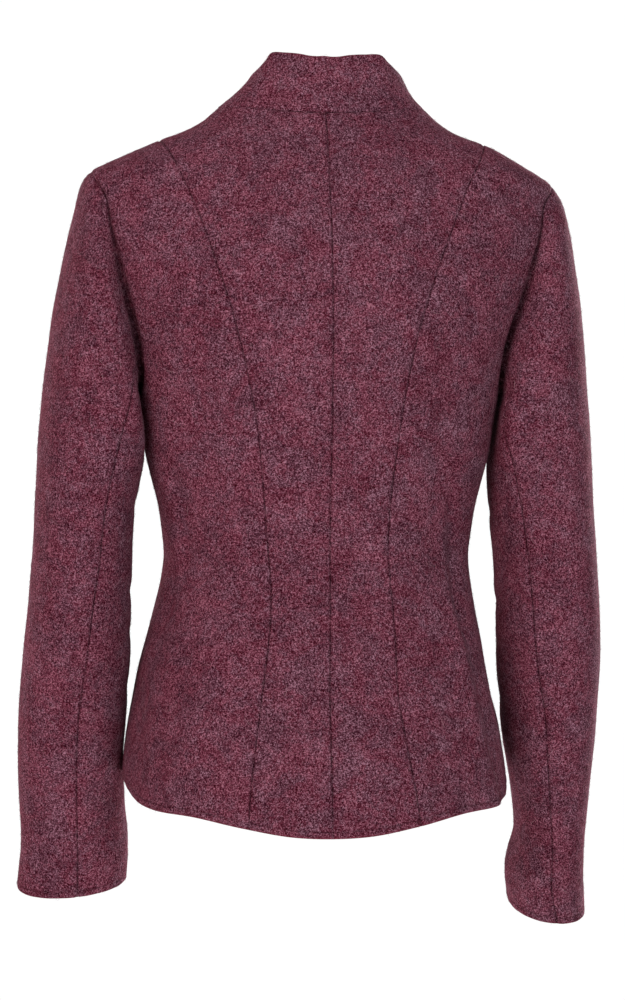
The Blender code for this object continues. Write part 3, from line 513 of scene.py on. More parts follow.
def sewnPiece(name, points, normals, edges=sewnAllRound, salt=None, extra=None, grooveWidth=None):
    # a closed wall from a grid of outer points; edges says seam, hem or turned for each side;
    # the salt shifts the waves along the seams, so that no two pieces have them alike
    salt = len(outerSkins) * 1.7 if salt is None else salt
    for line, move in [drawnIn(points, normals, e) for e, kind in edges.items() if kind == "seam"]:
        points[line] += move
    stepAcross = lengthOf(np.diff(points, axis=1))
    stepUp = lengthOf(np.diff(points, axis=0))
    across = np.concatenate([np.zeros((len(points), 1)), np.cumsum(stepAcross, axis=1)], axis=1)
    up = np.concatenate([np.zeros((1, points.shape[1])), np.cumsum(stepUp, axis=0)], axis=0)
    away = {"near": across, "far": across[:, -1:] - across, "bottom": up, "top": up[-1:] - up}
    along = {"near": up, "far": up, "bottom": across, "top": across}
    shift = unevenDepth(points)
    if "sleeve" not in name:
        shift = shift - creaseDepth(points)
    shade = 0.0
    if grooveWidth is not None:
        sunk, shade = armholeGroove(points, grooveWidth)
        shift = shift - sunk
    outward = shift.copy()
    if extra is not None:
        outward = outward - extra
    inward = np.zeros_like(outward)
    # dark: painted shade along the seams, the hem's stitched line and the armhole groove
    dark = np.zeros_like(outward)
    # rim: painted sheen along the turned edges
    rim = np.zeros_like(outward)
    for number, (edge, kind) in enumerate(edges.items()):
        if kind == "seam":
            outward = outward + seamRelief(away[edge], along[edge], salt + number)
            # painted shade in the seam's sunk line
            dark = np.maximum(dark, bell(away[edge], cloth["seamShadeWidth"]))
            continue
        outward = outward - turnedEdge(away[edge], cloth["foldRadius"])
        inward = inward + turnedEdge(away[edge], cloth["foldRadius"])
        # painted sheen close to the turned edge
        rim = np.maximum(rim, bell(away[edge], cloth["foldRadius"]))
        if kind == "hem":
            outward = outward + hemRelief(away[edge], along[edge], salt + number)
            # painted shade in the groove of the hem's stitched line
            line = bell(away[edge] - cloth["hemStitch"], cloth["seamShadeWidth"])
            dark = np.maximum(dark, cloth["hemStitchShade"] * line)
    outer = points + outward[..., None] * normals
    # the armhole groove's painted shade joins the seams' painted shade
    dark = np.maximum(dark, shade)
    inner = points + (inward + shift - cloth["wall"])[..., None] * normals
    outerSkins[name] = (outer, normals)
    rows, steps = points.shape[:2]
    at = np.arange(rows * steps).reshape(rows, steps)
    quads = np.stack([at[:-1, :-1], at[:-1, 1:], at[1:, 1:], at[1:, :-1]], axis=-1).reshape(-1, 4)
    loop = np.concatenate([at[0, :], at[1:, -1], at[-1, -2::-1], at[-2:0:-1, 0]])
    after = np.roll(loop, -1)
    side = joined(loop, loop + rows * steps, after + rows * steps, after)
    faces = np.concatenate([quads, quads[:, ::-1] + rows * steps, side])
    vertices = np.concatenate([outer.reshape(-1, 3), inner.reshape(-1, 3)])
    centre = quads.reshape(-1, 4)[len(quads) // 2]
    facing = np.cross(vertices[centre[1]] - vertices[centre[0]],
                      vertices[centre[3]] - vertices[centre[0]])
    if np.dot(facing, normals.reshape(-1, 3)[centre[0]]) < 0:
        faces = faces[:, ::-1]
    piece = meshPiece(name, vertices, faces)
    zero = np.zeros(dark.size)
    # the painted shade and the painted sheen along the turned edges go to the material as point values
    setValues(piece, "paintedSeamShade", np.concatenate([dark.ravel(), zero]))
    setValues(piece, "paintedEdgeSheen", np.concatenate([rim.ravel(), zero]))
    return piece


def meshPiece(name, vertices, faces):
    mesh = bpy.data.meshes.new(name)
    mesh.from_pydata(vertices.tolist(), [], faces if isinstance(faces, list) else faces.tolist())
    mesh.shade_smooth()
    mesh.update()
    piece = bpy.data.objects.new(name, mesh)
    bpy.context.scene.collection.objects.link(piece)
    return piece


def setValues(piece, name, values):
    attribute = piece.data.attributes.new(name, "FLOAT", "POINT")
    attribute.data.foreach_set("value", np.asarray(values, np.float32))


def finishCloth(piece, node, flat, area, restsOn):
    piece.data.materials.append(woolMaterial)
    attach(piece, "root")
    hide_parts(node)


# Materials.
def addNode(tree, kind, links=(), **settings):
    # adds a node; links are (input, socket or value) pairs, settings are properties or inputs
    node = tree.nodes.new(kind)
    for key, value in settings.items():
        if hasattr(node, key):
            setattr(node, key, value)
        else:
            node.inputs[key.replace("_", " ")].default_value = value
    for socket, source in links:
        if isinstance(source, bpy.types.NodeSocket):
            tree.links.new(source, node.inputs[socket])
        else:
            node.inputs[socket].default_value = source
    return node


def newMaterial(name, **settings):
    # a material, its tree and its shader; the settings are the shader's own inputs
    material = bpy.data.materials.new(name)
    material.use_nodes = True
    shader = material.node_tree.nodes["Principled BSDF"]
    for key, value in settings.items():
        shader.inputs[key.replace("_", " ")].default_value = value
    return material, material.node_tree, shader


def ramp(tree, value, stops):
    # colours by value: the first and last stop are the ramp's own ends
    node = addNode(tree, "ShaderNodeValToRGB", [("Fac", value)])
    ends = node.color_ramp.elements
    for end, (position, code) in zip(ends, (stops[0], stops[-1])):
        end.position, end.color = position, hexColour(code)
    for position, code in stops[1:-1]:
        ends.new(position).color = hexColour(code)
    return node.outputs["Color"]


wool = {
    # the felt's colour from its darkest hollows to its lightest fibres, in two dye lots
    "wine": ((0.04, "#33060f"), (0.28, "#501928"), (0.5, "#6a3041"), (0.74, "#7f4859"),
             (1.00, "#ae7585")),
    "grey": ((0.04, "#2e0a17"), (0.28, "#461d2b"), (0.5, "#5f3745"), (0.74, "#774e5d"),
             (1.00, "#ab8192")),
    # seam is the colour of the painted shade at the seams, the stitched lines and the armhole groove
    "seam": "#1d060d", "rim": "#7c2c3a", "sheen": "#c8707f",
    "fibreMm": 1.15,  # one tuft of felted fibre
    "lintMm": 4.5, "hueMm": 24, "patchMm": 14, "dyeMm": 60, "stitchMm": 6.5,
    "curls": ((2.6, 0.37, 0.035), (4.2, 0.71, 0.026)),  # millimetres, offset, width
    "grainShare": 0.9, "curlShare": 0.32, "patchShare": 0.42, "dyeShare": 0.22,
    # rim is the colour of a painted sheen along the turned edges; its cover sets how strongly it is laid
    # on
    "edgeSheenCover": 0.55, "seamShadeCover": 0.8, "bumpMm": 0.45, "bump": 0.5,
}


def boiledWool():
    # Boiled wool: knitted wool milled until the stitches are gone. The eye sees curled fibres
    # of two dye lots, light over dark, no weave, and a soft pale halo where it turns away.
    material, tree, shader = newMaterial(
        "boiled_wool", Roughness=0.95, IOR=1.5, Specular_IOR_Level=0.05, Sheen_Weight=0.1,
        Sheen_Roughness=0.3, Sheen_Tint=hexColour(wool["sheen"]))
    place = addNode(tree, "ShaderNodeTexCoord").outputs["Object"]

    def noise(millimetres, offset, detail=1.0, distortion=0.0, roughness=0.5):
        moved = addNode(tree, "ShaderNodeVectorMath", [(0, place), (1, (offset, 2 * offset, 3 * offset))],
                        operation="ADD").outputs[0]
        return addNode(tree, "ShaderNodeTexNoise", [("Vector", moved)], Scale=1000 / millimetres,
                       Detail=detail, Distortion=distortion, Roughness=roughness).outputs["Fac"]

    def sums(operation, a, b, clamp=False):
        return addNode(tree, "ShaderNodeMath", [(0, a), (1, b)], operation=operation,
                       use_clamp=clamp).outputs[0]

    def mapped(value, low, high, toLow=0.0, toHigh=1.0, kind="LINEAR"):
        return addNode(tree, "ShaderNodeMapRange", [("Value", value)], interpolation_type=kind,
                       From_Min=low, From_Max=high, To_Min=toLow, To_Max=toHigh).outputs[0]

    def mixed(factor, a, b):
        return addNode(tree, "ShaderNodeMix", [(0, factor), (6, a), (7, b)],
                       data_type="RGBA").outputs[2]

    def valuesOf(name):
        return addNode(tree, "ShaderNodeAttribute", attribute_name=name).outputs["Fac"]

    def centred(value, share):
        return sums("MULTIPLY", sums("SUBTRACT", value, 0.5), share)

    def curls(millimetres, offset, width):
        # thin bright lines where the noise crosses its middle value: curled single fibres
        away = sums("ABSOLUTE", sums("SUBTRACT", noise(millimetres, offset, 1, 0.6), 0.5), 0)
        return mapped(away, 0.0, width, 1.0, 0.0, "SMOOTHSTEP")

    # level = grain + curls + patches + dye, each by its share, kept to 0 to 1
    grain = mapped(noise(wool["fibreMm"], 0.11, 1.5, 0.8, 0.6), 0.36, 0.64)
    fibres = sums("MAXIMUM", *[curls(*curl) for curl in wool["curls"]])
    level = sums("ADD", sums("MULTIPLY", grain, wool["grainShare"]),
                 sums("MULTIPLY", fibres, wool["curlShare"]), True)
    level = sums("ADD", level, centred(noise(wool["patchMm"], 0.53, 4, 0.5), wool["patchShare"]))
    level = sums("ADD", level, centred(noise(wool["dyeMm"], 0.29, 2), wool["dyeShare"]), True)
    hue = sums("ADD", noise(wool["lintMm"], 0.83, 3, 1.0, 0.6),
               sums("SUBTRACT", noise(wool["hueMm"], 0.19, 2, 0.8), 0.5))
    colour = mixed(mapped(hue, 0.36, 0.66), ramp(tree, level, wool["wine"]),
                   ramp(tree, level, wool["grey"]))
    # painted shade along the seams, stitched lines and armhole groove, broken up along its length
    broken = mapped(noise(wool["stitchMm"], 0.43, 2), 0.34, 0.6, 0.35, 1.0)
    seam = sums("MULTIPLY", valuesOf("paintedSeamShade"), broken)
    # painted sheen along the turned edges, in the rim colour
    colour = mixed(sums("MULTIPLY", valuesOf("paintedEdgeSheen"), wool["edgeSheenCover"]), colour,
                   hexColour(wool["rim"]))
    colour = mixed(sums("MULTIPLY", seam, wool["seamShadeCover"]), colour, hexColour(wool["seam"]))
    tree.links.new(colour, shader.inputs["Base Color"])
    height = sums("ADD", grain, sums("MULTIPLY", fibres, 0.6))
    bump = addNode(tree, "ShaderNodeBump", [("Height", height)], Strength=wool["bump"],
                   Distance=wool["bumpMm"] / 1000)
    tree.links.new(bump.outputs["Normal"], shader.inputs["Normal"])
    return material


def looseFibre():
    # Loose wool fibres: finer and paler than the felt below, half seen through.
    material, tree, shader = newMaterial("loose_wool_fibre", Roughness=0.8, IOR=1.5,
                                         Specular_IOR_Level=0.2, Sheen_Weight=0.3)
    shade = addNode(tree, "ShaderNodeAttribute", attribute_name="fibreShade").outputs["Fac"]
    colour = ramp(tree, shade, ((0, "#4e1f2c"), (0.55, "#80495a"), (1, "#d0acb3")))
    tree.links.new(colour, shader.inputs["Base Color"])
    return material


def turnedHorn():
    # Polished horn-like resin: dark wine with cloudy streaks and a dull gloss.
    material, tree, shader = newMaterial("turned_horn", Roughness=0.36, IOR=1.54)
    place = addNode(tree, "ShaderNodeTexCoord").outputs["Object"]
    cloud = addNode(tree, "ShaderNodeTexNoise", [("Vector", place)], Scale=140.0, Detail=3.0,
                    Distortion=1.5).outputs["Fac"]
    colour = ramp(tree, cloud, ((0.3, "#2b1016"), (0.75, "#5d2c35")))
    tree.links.new(colour, shader.inputs["Base Color"])
    scratch = addNode(tree, "ShaderNodeTexNoise", [("Vector", place)], Scale=1800.0).outputs["Fac"]
    bump = addNode(tree, "ShaderNodeBump", [("Height", scratch)], Strength=0.08, Distance=0.0002)
    tree.links.new(bump.outputs["Normal"], shader.inputs["Normal"])
    return material


woolMaterial, fibreMaterial, hornMaterial = boiledWool(), looseFibre(), turnedHorn()
# Button thread: dull dark wine, twisted, so it catches no light.
threadMaterial = newMaterial("button_thread", Base_Color=hexColour("#3a1822"), Roughness=0.7)[0]
print("materials made")

# Sleeves: rings from the armhole down to the cuff.
sleeve = {
    "columns": ("outer", "outerHeight", "inner", "innerHeight", "back", "front", "backDrop",
                "elbowSeam", "frontSeam"),
    "left": (
        (0.2042, -0.0628, 0.1592, -0.251, 0.06, -0.078, 0, 133, 224),
        (0.2126, -0.094, 0.1587, -0.257, 0.0635, -0.0795, 0, 131, 223),
        (0.2203, -0.127, 0.1577, -0.265, 0.065, -0.0795, 0, 128, 222),
        (0.2285, -0.168, 0.156, -0.277, 0.065, -0.078, 0, 125, 221),
        (0.235, -0.213, 0.1535, -0.291, 0.064, -0.0755, 0, 120, 220),
        (0.2396, -0.252, 0.1522, -0.305, 0.062, -0.0725, 0, 116, 219),
        (0.2432, -0.292, 0.1553, -0.326, 0.06, -0.068, 0.001, 113, 218),
        (0.2455, -0.336, 0.16, -0.353, 0.058, -0.0635, 0.002, 110, 217),
        (0.247, -0.382, 0.1616, -0.386, 0.055, -0.06, 0.004, 107, 216),
        (0.2508, -0.425, 0.162, -0.426, 0.045, -0.066, 0.008, 101, 215),
        (0.255, -0.468, 0.1617, -0.468, 0.031, -0.073, 0.01, 97, 214),
        (0.258, -0.515, 0.164, -0.514, 0.014, -0.081, 0.011, 93, 213),
        (0.2587, -0.56, 0.1668, -0.558, -0.002, -0.09, 0.011, 94, 212),
        (0.2572, -0.605, 0.1645, -0.6, -0.019, -0.099, 0.011, 93, 210),
        (0.2556, -0.642, 0.1608, -0.636, -0.031, -0.107, 0.011, 91, 208),
        (0.2585, -0.68, 0.1624, -0.672, -0.041, -0.114, 0.011, 94, 206),
    ),
    "right": (
        (0.215, -0.077, 0.1592, -0.252, 0.06, -0.078, 0, 138, 224),
        (0.2202, -0.1, 0.1587, -0.258, 0.0635, -0.0795, 0, 141, 223),
        (0.225, -0.13, 0.1577, -0.266, 0.065, -0.0795, 0, 142, 222),
        (0.231, -0.17, 0.156, -0.278, 0.065, -0.078, 0, 143, 221),
        (0.235, -0.213, 0.1535, -0.292, 0.064, -0.0755, 0, 139, 220),
        (0.2375, -0.252, 0.1515, -0.306, 0.062, -0.0725, 0, 134, 219),
        (0.2402, -0.292, 0.1512, -0.326, 0.06, -0.069, 0.001, 130, 218),
        (0.2422, -0.336, 0.1527, -0.353, 0.0585, -0.065, 0.002, 125, 217),
        (0.2448, -0.382, 0.1562, -0.385, 0.057, -0.061, 0.004, 123, 216),
        (0.249, -0.425, 0.1588, -0.425, 0.048, -0.068, 0.008, 119, 215),
        (0.2528, -0.468, 0.1612, -0.468, 0.036, -0.077, 0.011, 115, 214),
        (0.2525, -0.515, 0.1664, -0.515, 0.022, -0.087, 0.013, 107, 213),
        (0.2508, -0.56, 0.1735, -0.56, 0.008, -0.095, 0.013, 105, 212),
        (0.2486, -0.605, 0.1822, -0.606, -0.006, -0.103, 0.013, 104, 210),
        (0.2472, -0.641, 0.185, -0.638, -0.016, -0.111, 0.013, 100, 208),
        (0.2478, -0.673, 0.18, -0.669, -0.024, -0.119, 0.013, 94, 207),
        (0.2505, -0.705, 0.1835, -0.7, -0.031, -0.127, 0.013, 88, 206),
    ),
    # the sleeve's back folds in over the gap below the armhole
    "tuck": {"height": -0.274, "spread": 0.03, "turn": 142, "width": 24,
             "square": 1.8, "depth": 0.0034},
    "square": 2.2, "elbowTurn": 135, "frontTurn": 225, "underarmBias": 0.8,
    "creaseColumns": ("place", "turn", "spread", "reach", "depth"),
    "creases": ((0.46, 262, 42, 0.022, 0.003), (0.53, 250, 36, 0.022, 0.004),
                (0.61, 270, 34, 0.022, 0.0025)),
    "fineCreases": ((0.34, 200, 40, 0.016, 0.0012), (0.42, 150, 30, 0.018, 0.0012),
                    (0.5, 200, 46, 0.014, 0.0018), (0.57, 178, 40, 0.013, 0.0014),
                    (0.66, 215, 36, 0.018, 0.0014), (0.78, 120, 50, 0.026, 0.0008),
                    (0.2, 60, 40, 0.03, 0.001), (0.88, 250, 60, 0.022, 0.0008)),
}


def sleeveRings(sideName, turns):
    side = 1 if sideName == "left" else -1
    angles, heights = armholeAt(turns)
    rings = [bodySkin(side * angles, heights)]
    for size in rowsOf(sleeve, sideName):
        turn = np.radians(np.interp(turns, [0, sleeve["elbowTurn"], sleeve["frontTurn"], 360],
                                    [0, size["elbowSeam"], size["frontSeam"], 360]))
        tuck = sleeve["tuck"]
        fold = (bell(size["innerHeight"] - tuck["height"], tuck["spread"])
                * bell(np.degrees(turn) - tuck["turn"], tuck["width"]))
        square = sleeve["square"] + tuck["square"] * fold
        reach = (np.abs(np.cos(turn)) ** square + np.abs(np.sin(turn)) ** square) ** (-1 / square)
        out, back = reach * np.cos(turn), reach * np.sin(turn)

        def across(a, b, share):
            return (size[a] + size[b]) / 2 + (size[a] - size[b]) / 2 * share

        x = across("outer", "inner", out) - tuck["depth"] * fold
        z = across("outerHeight", "innerHeight", out) - size["backDrop"] * back
        rings.append(joined(side * x, across("back", "front", back), z))
    return np.array(rings)


def sleeveSurface(sideName, places, turns):
    # a smooth curve down through the rings for every column; the creases inside the elbow are pressed in
    # where it is called
    rings = sleeveRings(sideName, turns)
    centre = sleeveRings(sideName, np.arange(0, 360, 15)).mean(axis=1)
    lengths = lengthOf(np.diff(centre, axis=0))
    knots = np.concatenate([[0], np.cumsum(lengths)]) / lengths.sum()
    return curveThrough(places, knots, rings)


def creasesOf(name, places, turns):
    inward = np.zeros((len(places), len(turns)))
    for crease in rowsOf(sleeve, name, "creaseColumns"):
        along = bell(places - crease["place"], crease["reach"])
        turned = (turns - crease["turn"] + 180) % 360 - 180
        inward += crease["depth"] * along[:, None] * bell(turned, crease["spread"])[None]
    return inward


def sleeveNormals(sideName, places, turns):
    # slopes taken on the uncreased surface, close on both sides of each place
    less, more = np.clip(places - 0.004, 0, 1), np.clip(places + 0.004, 0, 1)
    down = sleeveSurface(sideName, more, turns) - sleeveSurface(sideName, less, turns)
    around = sleeveSurface(sideName, places, turns + 1) - sleeveSurface(sideName, places, turns - 1)
    normals = unitOf(np.cross(around, down))
    return -normals if sideName == "left" else normals


def rimNormals(sideName, turns):
    side = 1 if sideName == "left" else -1
    angles, heights = armholeAt(turns)
    body = bodyNormal(side * angles, heights)
    arm = sleeveNormals(sideName, np.array([0.0]), turns)[0]
    under = np.clip(-np.cos(np.radians(turns)), 0, 1) ** 2
    down = joined(0 * under, 0 * under, -sleeve["underarmBias"] * under)
    return unitOf(body + arm + down)


sleevePlaces = 1 - spacedSteps(0.64, cloth["hemSteps"], 0.005,
                               (0, 0.0003, 0.0009, 0.0018, 0.003, 0.005))[::-1]
sleeveSpans = {"upper_sleeve": (-135, 135, 0.004, 0.2), "under_sleeve": (135, 225, 0.004, 0.08)}
sleeveCuts = {"upper_sleeve": ((0.285, 0.665), 0.135), "under_sleeve": ((0.125, 0.515), 0.046)}
for sideName in ("left", "right"):
    for partName, (fromTurn, toTurn, pitch, width) in sleeveSpans.items():
        turns = fromTurn + (toTurn - fromTurn) * spacedSteps(
            width, cloth["edgeSteps"], pitch, cloth["edgeSteps"])
        inner = np.clip(turns, fromTurn + 1e-6, toTurn - 1e-6) % 360
        points = sleeveSurface(sideName, sleevePlaces, inner)
        normals = sleeveNormals(sideName, sleevePlaces, inner)
        points = points - normals * creasesOf("creases", sleevePlaces, inner)[..., None]
        normals[0] = rimNormals(sideName, inner)
        points, normals = points[::-1].copy(), normals[::-1].copy()
        extra = creasesOf("fineCreases", sleevePlaces, inner)[::-1]
        piece = sewnPiece(f"cloth_{partName}_{sideName}", points, normals, extra=extra,
                          grooveWidth=groove["sleeveWidth"])
        flat, area = sleeveCuts[partName]
        finishCloth(piece, f"{partName}_{sideName}", flat, area,
                    [f"side_back_{sideName}", f"side_front_{sideName}"])
print("sleeves made")

# Body panels.
panelCuts = {"back": ((0.15, 0.64), 0.05), "side_back": ((0.165, 0.615), 0.08),
             "side_front": ((0.15, 0.605), 0.066), "front": ((0.17, 0.64), 0.065)}


def panelGrid(near, far, side, bottomOf, topOf, least, corner=None):
    # the panel's places on the skin, its points and its normals
    widths = lengthOf(bodySkin(side * near[:, 0], near[:, 1])
                      - bodySkin(side * far[:, 0], far[:, 1])) * 1.04
    places = panelPlaces(near, far, panelShares(np.maximum(widths, least), corner), bottomOf, topOf)
    angles, heights = side * places[..., 0], places[..., 1]
    return places, bodySkin(angles, heights), bodyNormal(angles, heights)


for sideName, side in (("left", 1), ("right", -1)):
    for front in (False, True):
        faceName = "front" if front else "back"
        middle = 180.0 if front else 0.0
        near, far = middleSeam(middle), shapedSeam(side, front)
        if front:
            near[:, 0] += np.degrees(middleParts["lap"] / np.abs(bodySkin(180.0, near[:, 1])[:, 1]))
        overlap = (near[0, 0] - middle, near[-1, 0] - middle)

        def bottomOf(share):
            return hemEdge(near[0, 0] + (far[0, 0] - near[0, 0]) * share)

        def topOf(share):
            if not front:
                return neckAndShoulder(share, middle)
            start = middleParts["neckShare"] * overlap[1] / (90 + overlap[1])
            inside = np.clip((share - start) / (middleParts["neckShare"] - start), 0, 1)
            rest = np.clip(share, middleParts["neckShare"], 1)
            line = neckAndShoulder(np.where(share > middleParts["neckShare"], rest,
                                            inside * middleParts["neckShare"]), middle)
            past = np.clip(1 - share / start, 0, 1)
            line[..., 0] += overlap[1] * past
            line[..., 1] -= middleParts["lapNeckDrop"] * past
            return line

        near[0], near[-1] = bottomOf(np.array([0.0]))[0], topOf(np.array([0.0]))[0]
        places, points, normals = panelGrid(near, far, side, bottomOf, topOf, 0.03,
                                            middleParts["neckShare"])
        if front and side == 1:
            step = middleParts["lapStep"] * easeBetween(places[..., 0], *middleParts["lapAngles"])
            points = points - normals * step[..., None]
        piece = sewnPiece(f"cloth_{faceName}_{sideName}", points, normals,
                          {**sewnAllRound, "near": "turned"} if front else sewnAllRound)
        finishCloth(piece, f"{faceName}_{sideName}", *panelCuts[faceName], ["collar"])

        edge = sideEdge(front)

        def lowOf(share):
            return hemEdge(far[0, 0] + (edge[0, 0] - far[0, 0]) * share)

        def shoulderOf(share):
            heights = shapedSeams["top"] + (shapedSeams["shoulderTip"] - shapedSeams["top"]) * share
            return joined(np.full_like(heights, 90.0), heights)

        _, points, normals = panelGrid(far, edge, side, lowOf, shoulderOf, 0.025)
        turns = 180 * (1 - highPlaces)
        normals[len(lowPlaces) - 1:, -1] = rimNormals(sideName, 360 - turns if front else turns)
        piece = sewnPiece(f"cloth_side_{faceName}_{sideName}", points, normals,
                          grooveWidth=groove["bodyWidth"])
        finishCloth(piece, f"side_{faceName}_{sideName}", *panelCuts[f"side_{faceName}"],
                    ["collar"])
print("body panels made")

# The standing collar.
collar = {
    "columns": ("angle", "lean", "rise"),
    "rows": ((0, 0.01, 0.0496), (8, 0.0102, 0.0491), (16, 0.0106, 0.0492),
             (28, 0.0126, 0.0504), (45, 0.0166, 0.0505), (56, 0.017, 0.0492),
             (66, 0.0236, 0.0426), (76, 0.0269, 0.0363), (90, 0.0253, 0.03),
             (112, 0.024, 0.029), (145, 0.015, 0.032), (180, 0.007, 0.034)),
    "hollow": 0.0025, "endAngle": 178.0, "endLift": 0.0008, "sway": 0.0049,
    "turn": 6.6, "turnReach": 60.0,
    "cut": ((0.5, 0.06), 0.0215),
}
angles = collar["endAngle"] * (2 * spacedSteps(0.47, cloth["edgeSteps"], 0.0034,
                                               cloth["edgeSteps"]) - 1)
v = spacedSteps(0.045, (0, 0.0003, 0.0009, 0.0017, 0.0028, 0.0043), 0.003,
                (0, 0.0002, 0.0006, 0.0012, 0.002, 0.0032))[:, None, None]
heights = alikeBothSides(angles, neckLine, "height")
base, baseNormals = bodySkin(angles, heights), bodyNormal(angles, heights)
base[:, 2] += collar["endLift"] * easeBetween(np.abs(angles), 150, collar["endAngle"])
turned = angles - collar["turn"] * bell(angles, collar["turnReach"])
lean = alikeBothSides(turned, collar, "lean")[None, :, None]
rise = alikeBothSides(turned, collar, "rise")[None, :, None]
inwardWay = -joined(np.sin(np.radians(angles)), np.cos(np.radians(angles)), 0 * angles)
points = (base[None] + v * rise * np.array([0.0, 0.0, 1.0])
          + (v * lean + collar["hollow"] * np.sin(np.pi * v)) * inwardWay[None])
points[..., 0] -= collar["sway"] * easeBetween(v[..., 0], 0, 1)
normals = unitOf(np.cross(np.gradient(points, axis=1), np.gradient(points, axis=0)))
normals = normals * -np.sign(np.sum(normals * inwardWay[None], axis=-1).mean())
normals[0] = baseNormals
piece = sewnPiece("cloth_collar", points, normals,
                  {"near": "turned", "far": "turned", "top": "turned", "bottom": "seam"}, salt=5.0)
finishCloth(piece, "collar", *collar["cut"], ["back_left", "back_right"])
print("collar made")

# Buttons down the front.
button = {
    "radius": 0.0105, "thick": 0.004, "heights": (-0.11, -0.185, -0.26, -0.335, -0.41),
    "clearance": 0.0006,
    "profile": ((0, 0.6), (0.35, 0.6), (0.55, 0.62), (0.64, 0.72), (0.72, 0.93), (0.8, 1.0),
                (0.89, 1.0), (0.96, 0.9), (1.0, 0.66), (1.0, 0.36), (0.95, 0.14), (0.85, 0.0),
                (0.4, 0.0), (0, 0.0)),
    "holes": 0.0024, "threadRadius": 0.00042,
}


def ringFaces(rows, steps, first=0):
    # the vertices' numbers ring by ring, and the quads between closed rings
    at = np.arange(rows * steps).reshape(rows, steps) + first
    after = np.roll(at, -1, axis=1)
    return at, np.stack([at[:-1], at[1:], after[1:], after[:-1]], axis=-1).reshape(-1, 4).tolist()


def turnedButton():
    # the profile turned about the z axis; the two ends meet in one point each
    radii, levels = np.array(button["profile"]).T * [[button["radius"]], [button["thick"]]]
    turn = np.radians(np.arange(0, 360, 7.5))
    ring = joined(radii[1:-1, None] * np.cos(turn), radii[1:-1, None] * np.sin(turn),
                  np.repeat(levels[1:-1, None], len(turn), axis=1))
    vertices = np.concatenate([ring.reshape(-1, 3), [[0, 0, levels[0]], [0, 0, levels[-1]]]])
    at, faces = ringFaces(*ring.shape[:2])
    faces += [[at.size, a, b] for a, b in zip(at[0], np.roll(at[0], -1))]
    faces += [[at.size + 1, b, a] for a, b in zip(at[-1], np.roll(at[-1], -1))]
    return vertices, faces


def threadTubes():
    # two crossing stitches of thread between the four holes
    pieces, faces = [], []
    turn = np.radians(np.arange(0, 360, 45))[None, :, None]
    along = np.linspace(-1, 1, 9)
    for number, (dx, dy) in enumerate(((1, 1), (1, -1))):
        reach = along * button["holes"] * 0.72
        lift = button["thick"] * 0.6 + 0.0007 * (1 - along**4) + 0.0003 * number
        path = joined(dx * reach, dy * reach, lift)
        sideways = unitOf(np.array([-dy, dx, 0.0]))
        tube = path[:, None] + button["threadRadius"] * (
            np.cos(turn) * sideways + np.sin(turn) * np.array([0, 0, 1.0]))
        at, sides = ringFaces(*tube.shape[:2], 72 * number)
        faces += sides + [at[0].tolist(), at[-1, ::-1].tolist()]
        pieces.append(tube.reshape(-1, 3))
    return np.concatenate(pieces), faces


for number, height in enumerate(button["heights"], 1):
    centre, outward = bodySkin(180.0, height), bodyNormal(np.array(180.0), np.array(height))
    right = unitOf(np.cross(np.array([0.0, 0, 1]), outward))
    turned = np.stack([right, np.cross(outward, right), outward])
    start = centre + outward * button["clearance"]
    vertices, faces = turnedButton()
    threads, threadFaces = threadTubes()
    allFaces = faces + [[index + len(vertices) for index in face] for face in threadFaces]
    piece = meshPiece(f"horn_button_{number}",
                      np.concatenate([vertices, threads]) @ turned + start, allFaces)
    piece.data.materials.append(hornMaterial)
    piece.data.materials.append(threadMaterial)
    which = np.zeros(len(allFaces), np.int32)
    which[len(faces):] = 1
    piece.data.polygons.foreach_set("material_index", which)
    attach(piece, "root")
    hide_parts(f"button_{number}")
print("buttons made")

# Loose fibres standing off the felt.
fuzz = {
    "groups": {"fuzz_back": ("cloth_back_left", "cloth_back_right", "cloth_side_back_left",
                             "cloth_side_back_right"),
               "fuzz_front": ("cloth_front_left", "cloth_front_right", "cloth_side_front_left",
                              "cloth_side_front_right"),
               "fuzz_sleeve_left": ("cloth_upper_sleeve_left", "cloth_under_sleeve_left"),
               "fuzz_sleeve_right": ("cloth_upper_sleeve_right", "cloth_under_sleeve_right",
                                     "cloth_collar")},
    "shortCount": 6900, "shortLength": (0.0022, 0.0055), "shortRadius": 0.000055,
    "longCount": 260, "longLength": (0.006, 0.014), "longRadius": 0.000085,
    "lift": (0.0002, 0.0011),
}


def fibreTubes(bases, normals, lengths, lifts, radii, random):
    # each fibre is an arc in its own direction, curled sideways; three sides, four rings
    count = len(bases)
    flat = unitOf(np.cross(normals, random.normal(size=(count, 3))))
    sideways = np.cross(normals, flat)
    curl = random.uniform(-1.0, 1.0, size=(count, 1))
    t = np.linspace(0, 1, 4)
    along = (t - 0.5)[None, :, None] * lengths[:, None, None]
    bend = (curl * 0.9)[:, None] * (t[None, :, None] ** 2 - t[None, :, None]) * lengths[:, None, None]
    up = (np.sin(np.pi * (0.08 + 0.8 * t))[None, :, None] * lifts[:, None, None]) - 0.0001
    path = (bases[:, None] + flat[:, None] * along + sideways[:, None] * bend
            + normals[:, None] * up)
    turn = np.radians([90, 210, 330])
    thin = (radii[:, None] * np.array([0.6, 1, 1, 0.5])[None])[..., None, None]
    tube = path[:, :, None] + thin * (np.cos(turn)[None, None, :, None] * sideways[:, None, None]
                                      + np.sin(turn)[None, None, :, None] * normals[:, None, None])
    at = np.arange(12).reshape(4, 3)
    after = np.roll(at, -1, axis=1)
    sides = np.stack([at[:-1], after[:-1], after[1:], at[1:]], axis=-1).reshape(-1, 4)
    sides = np.concatenate([sides[:, [0, 1, 2]], sides[:, [0, 2, 3]], [[2, 1, 0], [9, 10, 11]]])
    faces = (sides[None] + 12 * np.arange(count)[:, None, None]).reshape(-1, 3)
    return tube.reshape(-1, 3), faces


